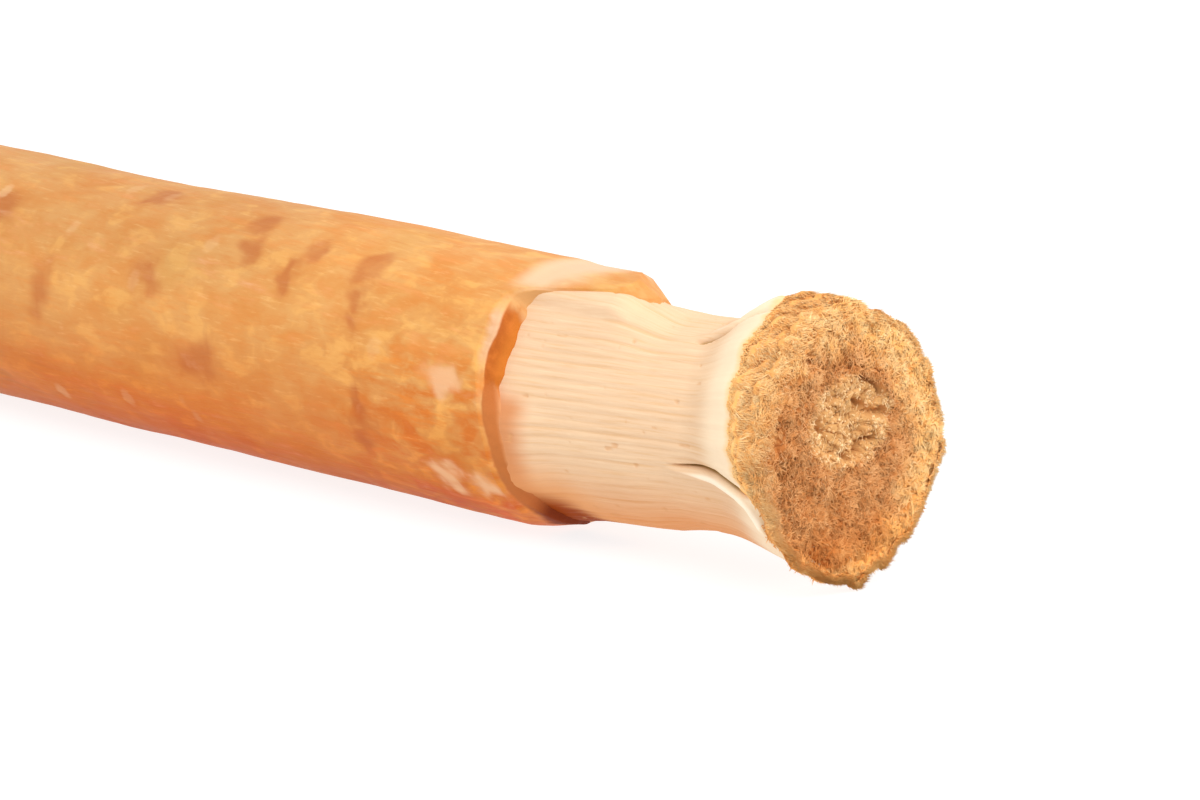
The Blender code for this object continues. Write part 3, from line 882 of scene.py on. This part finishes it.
def wood_material():
    """Cream wood: peach in its grooves, threads of warmer colour along it, paler towards the brush, with
    olive-brown splits darkened as painted shade, a pink tinge beside the bark, painted shade low down, and
    a brown stain with painted shadow where the neck starts under the bark's low edge."""
    shade = colours()
    material, paint = new_material("peeled_wood")
    along, opened, groove = paint.mark("along"), paint.mark("opened"), paint.mark("groove")
    grain_side, grain_up = paint.mark("grain_side"), paint.mark("grain_up")
    long_way = paint.node("CombineXYZ", inputs={0: along * (1.0 / 16.0), 1: grain_side, 2: grain_up})
    fine_way = paint.node("CombineXYZ", inputs={0: along * (1.0 / 26.0), 1: grain_side, 2: grain_up})
    streaks = paint.noise(0.26, detail=4.0, roughness=0.65, at=long_way)
    fine = paint.noise(0.09, detail=3.0, roughness=0.65, at=fine_way)
    wide = paint.noise(2.2, (3.0, 1.0, 1.0), 3.0)
    colour = paint.mix((groove + streaks - 0.5).band(0.25, 0.95) * 0.8, opaque(shade.wood),
                       opaque(shade.wood_groove))
    colour = colour.coat(fine.band(0.5, 0.7) * 0.5, stain("dark thread"))
    colour = colour.coat(fine.band(0.48, 0.3) * 0.5, stain("pale thread"))
    colour = colour.coat(wide.band(0.5, 0.75) * 0.35, stain("warm wood"))
    angle = paint.mark("angle")
    beside_bark = along.band(62.6, 61.0) * angle.band(0.4, 0.5)
    colour = colour.coat(beside_bark * 0.6, stain("pink wood"))
    stained = (along + streaks * 0.5).band(62.8, 61.6) * angle.band(0.43, 0.49)
    colour = colour.coat(stained * 0.8, stain("wood at the line"))
    # Painted shade: the wood darker and more orange on its lower side, less so where it opens out.
    under = paint.math("ABSOLUTE", angle).band(0.56, 0.88) * (1.0 - opened * 0.6)
    colour = colour.coat(under, WOOD_LOW_SHADE, "MULTIPLY")
    # A brown stain with painted shadow where the neck starts under the bark's low edge, darkest underneath.
    near_foot = along - angle * 7.0 + (streaks - 0.5) * 1.5
    colour = colour.coat(near_foot.band(60.0, 57.4) * angle.band(0.58, 0.76) * 0.85, stain("stained and shaded wood below"))
    colour = colour.coat(near_foot.band(58.3, 56.6) * angle.band(0.71, 0.81), stain("stained wood in shadow underneath"))
    colour = colour.coat(opened.band(0.1, 0.8) * 0.8, opaque(shade.flare))
    colour = colour.coat(paint.mark("lip").band(0.35, 0.8) * 0.85, stain("lip"))
    frayed = (paint.mark("end") + (streaks - 0.5) * 0.9).band(0.35, 1.1)
    colour = colour.coat(frayed * 0.75, stain("frayed wood"))
    colour = colour.coat(paint.mark("nick") * 0.5, stain("nick"))
    # Painted shade in the splits.
    colour = colour.coat(paint.mark("split").band(0.3, 0.75) * 0.9, stain("split"))
    roughness = 0.5 + 0.15 * streaks + 0.05 * groove
    normal = paint.bump(streaks * 0.5 + fine * 0.5, 0.035, 0.7)
    dress(material, colour, roughness, normal, 0.05)
    return material


def brush_tone(side, up, reach):
    """Where each point lies on the brush, from 0 in the pith over 1 in the middle ring to 2 in the outer
    ring, with a wavy edge between them. It is a little higher along the bottom, which is paler there as
    painted light."""
    wander = 0.3 * ripples(side, up, 61, 0.7, 2.4)
    past_pith = from_pith(side, up) + 0.35 * wander
    out = np.hypot(side - RINGS_MIDDLE[0], up - RINGS_MIDDLE[1]) / reach + 0.25 * wander
    zone = eased((past_pith - 0.66) / 0.5) + np.clip((out - 0.6) / 0.4, 0.0, 1.0)
    return zone + 0.4 * eased((-up - 3.8) / 0.6)


def crevice_depth(side, up):
    """How deep the pith's crevices run, 0 to 1: a bell over the distance to each line."""
    pushed_side = side + 0.12 * ripples(side, up, 81, 0.5, 1.1)
    pushed_up = up + 0.12 * ripples(side, up, 83, 0.5, 1.1)
    total = 0.0
    for half_width, line in CREVICES:
        total = np.maximum(total, hump(polyline_distance(pushed_side, pushed_up, line), 0.0, half_width))
    return total


def splits(side, up, reach):
    """Splits between the outer ring's tufts, 0 to 1: the borders of lumps that are long from the middle
    outwards, where the tufts' own numbers leave them open, and the listed cracks inside the ring."""
    out = np.hypot(side, up) / reach
    turn = np.arctan2(side, up) + 0.1 * ripples(side, up, 93, 0.8, 2.0)
    points = np.stack([np.sin(turn) * 5.6, np.cos(turn) * 5.6, out * 1.6], axis=-1)
    near, second, own = cells(points, 0.8, 307)
    open_here = eased((0.12 - (second - near)) / 0.1) * between(out, 0.55, 0.84, 0.12)
    open_here = open_here * eased((own - 0.6) / 0.2)
    pushed_side = side + 0.16 * ripples(side, up, 95, 0.4, 1.0)
    pushed_up = up + 0.16 * ripples(side, up, 97, 0.4, 1.0)
    for line in RIM_CRACKS:
        crack = hump(polyline_distance(pushed_side, pushed_up, line), 0.0, RIM_CRACK_WIDTH)
        open_here = np.maximum(open_here, crack)
    return open_here


def brush_height(side, up, reach):
    """Relief of the brush's face: slow lumps, bundles of bristle divided by cracks, pores and crevices."""
    points = np.stack([side, up, np.zeros_like(side)], axis=-1)
    zone = brush_tone(side, up, reach)
    near, second, own = cells(points, BUNDLE_SIZE, BUNDLE_SEED)
    bundles = 0.14 * (own - 0.5) - 0.08 * border(near, second, 0.2)
    near, second, _ = cells(points, 0.27, 311)
    pores = -0.09 * border(near, second, 0.25)
    near, second, own = cells(points, 0.36, 317)
    pith = 0.28 * np.abs(cloud(points, 0.95, 321)) + 0.14 * (own - 0.5) - 0.12 * border(near, second, 0.2)
    inside = 1.0 - eased(zone)
    crevice = crevice_depth(side, up)
    relief = face_relief(side, up) + (1.0 - inside) * (bundles + pores) + inside * (pith + 0.3 * pores)
    return relief - 0.5 * crevice - 0.12 * splits(side, up, reach), zone, crevice


def side_relief(x, radius, angle):
    """Relief of the brush's side: tufts of two sizes divided by cracks, and finer crumbs."""
    points = straight(x, radius, angle, 1.5)
    near, second, own = cells(points, 0.75, 331)
    return 0.18 * (own - 0.5) - 0.1 * border(near, second, 0.3) + 0.08 * rough(points, 0.45, 341, 3)


def edge_round(shank):
    """How far the face rounds over into the side: most of what the side is long, within limits."""
    return np.clip(0.85 * (FACE_X - shank), 0.28, 0.55)


def shade_below_share(up, on_face):
    """How much painted shade each point gets for lying low: how far down it lies, 0 to 1, from 1.2 mm below
    the middle line. It is up to half less along the face's low edge."""
    return eased((-up - 1.2) / 3.0) * (1.0 - 0.5 * on_face * eased((-up - 3.7) / 0.6))


def brush_core_surface():
    """The brush under its fibres: its side from the flare, a rounded edge and the face, in rings that close
    in the middle."""
    columns = 440
    around = circle(columns)[None, :]
    shank = wood_end(around)
    reach = head_reach(around)
    inner = np.array([[0.86, -0.7], [0.9, -0.25]])
    side_share = np.linspace(0.0, 1.0, 50)[:, None]
    bend = edge_round(shank)
    side_x = shank + (FACE_X - bend - shank) * side_share
    side_radius = reach * (SHANK_REACH + 0.05 * eased(side_share * 3.0))
    turn = np.linspace(0.0, math.pi / 2.0, 17)[1:, None]
    edge_x = FACE_X - bend + bend * np.sin(turn)
    edge_radius = reach * (SHANK_REACH + 0.05) - bend * (1.0 - np.cos(turn))
    face_share = np.linspace(1.0, 0.0, 132)[1:-1, None] ** 0.85
    face_radius = edge_radius[-1:] * face_share
    x = np.concatenate([shank + inner[:, 1:], side_x, edge_x, FACE_X + 0.0 * face_radius])
    radius = np.concatenate([reach * inner[:, :1], side_radius, edge_radius, face_radius])
    angle = np.broadcast_to(around, x.shape)
    side, up = across(radius, angle)
    relief, zone, _ = brush_height(side, up, reach)
    tufts = side_relief(x, radius, angle)
    on_face = eased((x - FACE_X + bend * 0.7) / (bend * 0.5))
    on_side = eased((x - shank) / 0.16) * (1.0 - on_face)
    x = x + on_face * (relief - 0.08)
    radius = radius + on_side * tufts
    soft_start = 0.1 + 0.8 * eased((FACE_X - shank) / 2.0)
    beside_wood = eased((soft_start + shank - x) / soft_start) * eased((FACE_X - 0.6 - shank) / 0.5)
    side_zone = 1.7 + 1.2 * beside_wood * (1.0 - on_face)
    # The core's colour lift: lower in its hollows and splits as painted shade, higher on the pale lump.
    tip = 0.15 + 1.2 * (tufts + (relief - tufts) * on_face)
    tip = tip + 0.9 * (knob_share(side, up) * on_face) - 0.7 * splits(side, up, reach) * on_face
    # The mark under carries painted shade low down.
    marks = {"zone": side_zone + (zone - side_zone) * on_face, "tint": np.full(x.shape, 0.35), "tip": tip,
             "under": shade_below_share(up, on_face)}
    return place(x, radius, angle), marks


def brush_material(name, body):
    """Orange-tan fibre: an outer ochre ring, a reddish ring and a grey-tan pith, each with its own darker
    colour at the fibres' roots and a random tint per fibre. The darker colour at the roots, in hollows
    and splits and on the core is painted shade, as are the darkest places between tufts and the deeper
    orange low down."""
    shade = colours()
    material, paint = new_material(name)
    zone, tint, tip = paint.mark("zone"), paint.mark("tint"), paint.mark("tip")
    wide = paint.noise(1.2)
    tufts = paint.noise(0.42, detail=2.0)
    grain = paint.noise(0.09, (2.0, 1.0, 1.0), 3.0, 0.65)
    low = paint.mix(zone.band(0.1, 0.9), opaque(shade.pith_deep), opaque(shade.brush_ring_deep))
    low = low.coat(zone.band(1.0, 2.0), opaque(shade.brush_rim_deep))
    high = paint.mix(zone.band(0.1, 0.9), opaque(shade.pith), opaque(shade.brush_ring))
    high = high.coat(zone.band(1.0, 2.0), opaque(shade.brush_rim))
    # Lift picks the darker or lighter colour: random tone from the tints and noise, and painted shade that is
    # darker at the fibres' roots, in hollows and splits and on the core through its lower body.
    lift = tip * 0.4 + tint * 0.5 - 0.1 + (grain - 0.5) * 0.4
    lift = lift + (tufts - 0.5) * 1.2 + (wide - 0.5) * 0.6 + body
    colour = paint.mix(lift.band(-0.1, 0.9), low, high)
    # Painted shade: the darkest colour where the lift is lowest, between the tufts.
    colour = colour.coat(lift.band(-0.4, -0.9), stain("painted shade between tufts"))
    colour = colour.coat((zone + (tufts - 0.5) * 0.8).band(2.1, 2.9), stain("brush at the wood"))
    colour = colour.coat((tint + grain * 0.4).band(1.05, 1.25) * 0.4, stain("pale fibre"))
    # Painted shade: deeper orange on the brush's low side.
    colour = colour.coat(paint.mark("under"), BRUSH_LOW_SHADE, "MULTIPLY")
    roughness = 0.62 + 0.2 * grain
    normal = paint.bump(grain, 0.008, 0.3)
    dress(material, colour, roughness, normal, 0.05)
    return material


def end_ways():
    """The directions along the stick, to its side and up at the brush's face."""
    slope = 2.0 * BOW * FACE_X / HALF**2
    stretch = math.hypot(1.0, slope)
    return (np.array([1.0, slope, 0.0]) / stretch, np.array([slope, -1.0, 0.0]) / stretch,
            np.array([0.0, 0.0, 1.0]))


def unit(vectors):
    return vectors / np.linalg.norm(vectors, axis=-1, keepdims=True)


def face_bristles(material):
    """Fibre tips over the brush's face, gathered in bundles that lean together."""
    draw = np.random.default_rng(401)
    count = sizes().bristle_count
    angle = draw.uniform(-180.0, 180.0, count)
    reach = head_reach(angle)
    radius = reach * 0.965 * np.sqrt(draw.uniform(0.0, 1.0, count))
    side, up = across(radius, angle)
    relief, zone, crevice = brush_height(side, up, reach)
    flat = np.stack([side, up, np.zeros(count)], axis=-1)
    _, _, own = cells(flat, BUNDLE_SIZE, BUNDLE_SEED)
    lean = own * 997.0 % 1.0 * 2.0 * math.pi + draw.normal(0.0, 1.1, count)
    keep = (crevice < 0.35) & (draw.random(count) < 0.08 + 0.92 * eased(zone * 1.6 - 0.5))
    keep = keep & (splits(side, up, reach) < 0.4)
    forward, sideways, upward = end_ways()
    outward = sideways * np.sin(np.radians(angle))[:, None] + upward * np.cos(np.radians(angle))[:, None]
    ways = sideways * np.sin(lean)[:, None] + upward * np.cos(lean)[:, None]
    frayed = eased((zone - 0.9) / 0.6)[:, None]
    ways = unit(ways + outward * 0.3 * frayed)
    past = np.clip((ways * outward).sum(axis=1, keepdims=True), 0.0, 1.0)
    ways = ways - outward * past * 0.7 * eased((radius / reach - 0.84) / 0.1)[:, None]
    standing = hump(zone, 0.8, 0.5)
    lift = draw.normal(0.12, 0.12, count) + standing * np.abs(draw.normal(0.35, 0.4, count))
    ways = unit(ways + forward * lift[:, None])
    lengths = sizes().bristle_length * draw.uniform(0.3, 0.9, count)
    widths = sizes().bristle_width * draw.uniform(0.8, 1.6, count)
    bend = edge_round(wood_end(angle))
    into_edge = np.clip(1.0 + (radius - reach * 0.967) / bend, 0.0, 1.0)
    rounded = bend * (1.0 - np.sqrt(1.0 - into_edge**2))
    roots = place(FACE_X + relief - 0.08 - rounded, radius, angle)
    tint = 0.6 * draw.random(count) + 0.4 * own
    # The mark under carries painted shade low down.
    marks = {"zone": zone[keep], "tint": tint[keep], "under": shade_below_share(up, 1.0 - into_edge)[keep]}
    out = unit(forward + outward * into_edge[:, None] * 0.8)
    piece = fibres("bristle_tips", roots[keep], ways[keep], out[keep], lengths[keep], widths[keep], marks,
                   outwards=1.5)
    finish_piece(piece, material)


def rim_fibres(material):
    """Fibres around the brush's side: they start under the flare's edge, lie along the stick and fray
    outwards in tufts."""
    draw = np.random.default_rng(431)
    count = sizes().tuft_count
    angle = draw.uniform(-180.0, 180.0, count)
    shank = wood_end(angle)
    reach = head_reach(angle)
    share = draw.uniform(0.0, 1.0, count) ** 0.8
    x = shank - 0.15 + (FACE_X + 0.1 - shank) * share
    radius = reach * (SHANK_REACH + 0.05 * eased(share * 3.0))
    bend = edge_round(shank)
    radius = radius - bend * (1.0 - np.sqrt(1.0 - np.clip((x - FACE_X) / bend + 1.0, 0.0, 1.0) ** 2))
    radius = radius + side_relief(x, radius, angle) * eased((x - shank) / 0.16) - 0.01
    turn = np.radians(angle)
    forward, sideways, upward = end_ways()
    outward = sideways * np.sin(turn)[:, None] + upward * np.cos(turn)[:, None]
    round_way = sideways * np.cos(turn)[:, None] - upward * np.sin(turn)[:, None]
    near_face = eased((share - 0.5) / 0.5)[:, None]
    lifted = 0.04 + 0.2 * eased((0.3 - share) / 0.2)[:, None]
    ways = forward + outward * draw.normal(lifted, 0.1, (count, 1))
    ways = unit(ways + round_way * draw.normal(0.0, 0.4 + 0.5 * near_face, (count, 1)))
    lengths = sizes().bristle_length * draw.uniform(0.7, 1.6, count) * (1.0 - 0.4 * near_face[:, 0])
    widths = sizes().bristle_width * draw.uniform(0.7, 1.5, count)
    roots = place(x, radius, angle)
    beside_wood = eased((0.6 - x + shank) / 0.5) * eased((FACE_X - 0.6 - shank) / 0.5) * draw.random(count)
    into_edge = eased((x - FACE_X) / bend + 1.0)
    face_zone = brush_tone(radius * np.sin(turn), radius * np.cos(turn), reach)
    zone = 1.7 + (face_zone - 1.7) * into_edge + beside_wood
    # The mark under carries painted shade low down.
    marks = {"zone": zone, "tint": draw.random(count), "under": shade_below_share(radius * np.cos(turn), 0.0)}
    out = unit(outward + forward * near_face)
    piece = fibres("rim_tufts", roots, ways, out, lengths, widths, marks, outwards=0.3)
    finish_piece(piece, material)


def pith_crumbs(material):
    """Crumbs over the pith and thinly around it, left out of its crevices and off its pale lump."""
    draw = np.random.default_rng(461)
    count = sizes().crumb_count
    inner = int(count * 0.85)
    turn = draw.uniform(0.0, 2.0 * math.pi, count)
    out = np.sqrt(draw.uniform(0.0, 1.0, count)) * np.where(np.arange(count) < inner, 0.95, 1.75)
    side = PITH[0] + PITH_RADII[0] * out * np.sin(turn)
    up = PITH[1] + PITH_RADII[1] * out * np.cos(turn)
    angle = np.degrees(np.arctan2(side, up))
    radius = np.hypot(side, up)
    relief, zone, crevice = brush_height(side, up, head_reach(angle))
    keep = (crevice < 0.4) & (from_knob(side, up) > KNOB_WIDTH)
    radii = sizes().crumb_size * draw.uniform(0.45, 1.3, count)
    radii = radii * np.where(np.arange(count) < inner, 1.0, 0.75)
    middles = place(FACE_X + relief - 0.1, radius, angle)
    marks = {"zone": zone[keep] * 0.8, "tint": draw.random(count)[keep],
             "tip": draw.uniform(-0.5, 0.7, count)[keep], "under": np.zeros(keep.sum())}
    piece = crumb_bodies("pith_crumbs", middles[keep], radii[keep], 467, marks)
    finish_piece(piece, material)


def far_end_surface():
    """The cut far end: a nearly flat disc of wood inside the bark, with saw marks and a sunken pith."""
    columns, rows = 220, 60
    around = circle(columns)[None, :]
    share = np.linspace(1.0, 0.0, rows)[:-1, None]
    radius = (bark_radius(-HALF, around) - 0.2) * share
    side, up = across(radius, around)
    points = np.stack([side, up, np.zeros_like(side)], axis=-1)
    stripe = (side * 0.35 + up * 0.94 + 0.25 * cloud(points, 2.2, 501)) / 0.55
    saw = 0.02 * np.cos(2.0 * math.pi * stripe) * eased(0.5 + cloud(points, 1.4, 507))
    relief = saw + 0.06 * rough(points, 0.7, 503, 4) + 0.12 * hump(np.hypot(side - 0.2, up + 0.1), 0.0, 0.8)
    x = -HALF + 0.04 + relief + 0.08 * eased((share - 0.9) / 0.1)
    back = np.array([[1.0, 0.6], [0.7, 1.6]])
    all_x = np.concatenate([x[::-1], -HALF + back[:, 1:] + 0.0 * around])
    all_radius = np.concatenate([radius[::-1], (bark_radius(-HALF, around) - 0.5) * back[:, :1]])
    angle = np.broadcast_to(around, all_x.shape)
    marks = {"out": all_radius / bark_radius(-HALF, angle), "turn": angle / 180.0}
    return place(all_x, all_radius, angle), marks


def far_end_material():
    """Sawn wood: cream with faint rings, rays and pores, a tan pith and the bark's brown ring around it."""
    shade = colours()
    material, paint = new_material("sawn_end")
    out = paint.mark("out")
    grain = paint.noise(0.12, detail=4.0, roughness=0.6)
    wide = paint.noise(1.2)
    rings = paint.math("SINE", (out + (wide - 0.5) * 0.09) * 44.0) * 0.5 + 0.5
    rays = paint.math("SINE", (paint.mark("turn") + (wide - 0.5) * 0.03) * 300.0) * 0.5 + 0.5
    pores = paint.lumps(0.32)
    colour = paint.mix(rings * 0.55 + grain * 0.4, opaque(shade.wood), stain("sawn ring"))
    colour = colour.coat(rays.band(0.75, 1.0) * (grain + 0.1) * out.band(0.15, 0.35), stain("ray"))
    colour = colour.coat(pores.band(0.26, 0.1) * 0.6, stain("wood pore"))
    pith = (out + (wide - 0.5) * 0.2 + (grain - 0.5) * 0.1).band(0.27, 0.13)
    colour = colour.coat(pith * 0.8,
                         paint.mix(grain.band(0.35, 0.65), stain("sawn pith"), opaque(shade.pith)))
    barked = out + (wide - 0.5) * 0.05 + (grain - 0.5) * 0.05
    colour = colour.coat(barked.band(0.8, 0.85),
                         paint.mix(wide, stain("inner bark"), stain("pale inner bark")))
    colour = colour.coat(barked.band(0.92, 0.97), stain("outer bark"))
    roughness = 0.6 + 0.2 * grain
    normal = paint.bump(grain * 0.5 + pores * 0.5, 0.04, 0.7)
    dress(material, colour, roughness, normal, 0.2)
    return material


# The floor: its two greys, its glow and half its width in metres.
FLOOR_GREYS = (0.19, 0.21)
FLOOR_GLOW = 0.84
FLOOR_HALF = 1.5
# The light from all round, and the soft sun: its power, its width in degrees and the way towards it.
WORLD_LIGHT = 0.86
SUN_POWER = 1.7
SUN_WIDTH = 50.0
SUN_WAY = (0.5, -0.3, 0.85)
# The softbox: where it is, what it faces and how wide it is, in metres, and its power.
SOFTBOX = ((0.25, 0.12, 0.16), (0.07, 0.0, 0.005), 0.18, 0.22)
# The camera: where it is in the solid's frame in millimetres, its turn, its tilt and its lens.
CAMERA_PLACE = (190.74, -105.297, 39.007)
CAMERA_TURN = 50.56
CAMERA_TILT = 11.52
CAMERA_LENS = 138.0
SENSOR = 36.0


def add_camera():
    """A camera that looks along the photograph's direction, level from side to side."""
    turn, tilt = math.radians(CAMERA_TURN), math.radians(CAMERA_TILT)
    back = Vector((math.sin(turn) * math.cos(tilt), -math.cos(turn) * math.cos(tilt), math.sin(tilt)))
    right = Vector((math.cos(turn), math.sin(turn), 0.0))
    upward = back.cross(right)
    data = bpy.data.cameras.new("camera")
    data.sensor_width = SENSOR
    data.lens = CAMERA_LENS
    data.clip_start = 0.001
    camera = bpy.data.objects.new("camera", data)
    bpy.context.collection.objects.link(camera)
    facing = Matrix((right, upward, back)).transposed().to_4x4()
    camera.matrix_world = Matrix.Translation(Vector(CAMERA_PLACE) * MM) @ facing
    bpy.context.scene.camera = camera


def add_light(name, kind, energy):
    data = bpy.data.lights.new(name, kind)
    data.energy = energy
    lamp = bpy.data.objects.new(name, data)
    bpy.context.collection.objects.link(lamp)
    return lamp, data


def add_softbox(name, spot, aim, size, power):
    """A square soft light at a spot, turned to an aim, all in metres."""
    lamp, data = add_light(name, "AREA", power)
    data.shape = "SQUARE"
    data.size = size
    way = Vector(aim) - Vector(spot)
    lamp.matrix_world = Matrix.Translation(Vector(spot)) @ way.to_track_quat("-Z", "Y").to_matrix().to_4x4()


def add_sky():
    """White light from all round and a wide, soft sun."""
    world = bpy.data.worlds.new("studio")
    bpy.context.scene.world = world
    world.use_nodes = True
    background = world.node_tree.nodes["Background"]
    background.inputs["Color"].default_value = (1.0, 1.0, 1.0, 1.0)
    background.inputs["Strength"].default_value = WORLD_LIGHT
    lamp, data = add_light("overhead", "SUN", SUN_POWER)
    data.angle = math.radians(SUN_WIDTH)
    lamp.matrix_world = Vector(SUN_WAY).to_track_quat("Z", "Y").to_matrix().to_4x4()


def add_floor():
    """A wide white floor with a glow of its own, so that it stays pale under the stick."""
    material, paint = new_material("pale_floor")
    shader = material.node_tree.nodes["Principled BSDF"]
    dapple = paint.noise(60.0, detail=2.0)
    dark, light = ((grey, grey, grey, 1.0) for grey in FLOOR_GREYS)
    material.node_tree.links.new(paint.mix(dapple, dark, light).socket, shader.inputs["Base Color"])
    shader.inputs["Roughness"].default_value = 0.9
    shader.inputs["Emission Color"].default_value = (1.0, 1.0, 1.0, 1.0)
    shader.inputs["Emission Strength"].default_value = FLOOR_GLOW
    corners = np.array([[-1.0, -1.0, 0.0], [1.0, -1.0, 0.0], [1.0, 1.0, 0.0], [-1.0, 1.0, 0.0]]) * FLOOR_HALF
    floor = fill_mesh("floor", corners, np.array([[0, 1, 2, 3]]), np.zeros((0, 3), int), {})
    floor.data.materials.append(material)


class StageOperator(bpy.types.Operator):
    """Builds the floor, the lights and the camera"""

    bl_idname = "miswak.stage"
    bl_label = "Floor, lights and camera"

    def execute(self, context):
        add_floor()
        add_sky()
        add_softbox("right", *SOFTBOX)
        add_camera()
        context.scene.view_settings.view_transform = "Standard"
        return {"FINISHED"}


class BarkOperator(bpy.types.Operator):
    """Builds the bark with its tongue, cut rim and rust face"""

    bl_idname = "miswak.bark"
    bl_label = "Bark"

    def execute(self, context):
        finish_piece(closed_tube("bark_skin", *bark_surface()), bark_material())
        return {"FINISHED"}


class WoodOperator(bpy.types.Operator):
    """Builds the peeled neck and the sawn far end"""

    bl_idname = "miswak.wood"
    bl_label = "Wood"

    def execute(self, context):
        finish_piece(closed_tube("peeled_neck", *wood_surface()), wood_material())
        finish_piece(closed_tube("sawn_end", *far_end_surface()), far_end_material())
        return {"FINISHED"}


class BrushOperator(bpy.types.Operator):
    """Builds the brush: its core, fibre tips, rim tufts and pith crumbs"""

    bl_idname = "miswak.brush"
    bl_label = "Brush"

    def execute(self, context):
        # The core gets a lower lift and so a darker colour: painted shade between the fibres.
        core = brush_material("brush_core", -0.2)
        finish_piece(closed_tube("brush_core", *brush_core_surface()), core)
        fibre = brush_material("brush_fibre", 0.0)
        face_bristles(fibre)
        rim_fibres(fibre)
        pith_crumbs(fibre)
        return {"FINISHED"}


class StickPanel(bpy.types.Panel):
    """Sizes, colours and steps of the miswak stick"""

    bl_idname = "VIEW3D_PT_miswak"
    bl_label = "Miswak Stick"
    bl_space_type = "VIEW_3D"
    bl_region_type = "UI"
    bl_category = "Miswak"

    def draw(self, context):
        for group in (context.scene.stick_sizes, context.scene.stick_colours):
            box = self.layout.box()
            for name in group.bl_rna.properties.keys():
                if name not in ("name", "rna_type"):
                    box.prop(group, name)
        for operator in OPERATORS:
            self.layout.operator(operator.bl_idname)


OPERATORS = (StageOperator, BarkOperator, WoodOperator, BrushOperator)
CLASSES = (StickSizes, StickColours, *OPERATORS, StickPanel)


def register():
    for each in CLASSES:
        bpy.utils.register_class(each)
    bpy.types.Scene.stick_sizes = PointerProperty(type=StickSizes)
    bpy.types.Scene.stick_colours = PointerProperty(type=StickColours)


def unregister():
    del bpy.types.Scene.stick_colours
    del bpy.types.Scene.stick_sizes
    for each in reversed(CLASSES):
        bpy.utils.unregister_class(each)


def main():
    """Registers the add-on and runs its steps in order."""
    register()
    bpy.ops.miswak.stage()
    bpy.ops.miswak.bark()
    bpy.ops.miswak.wood()
    bpy.ops.miswak.brush()


if __name__ == "__main__":
    main()
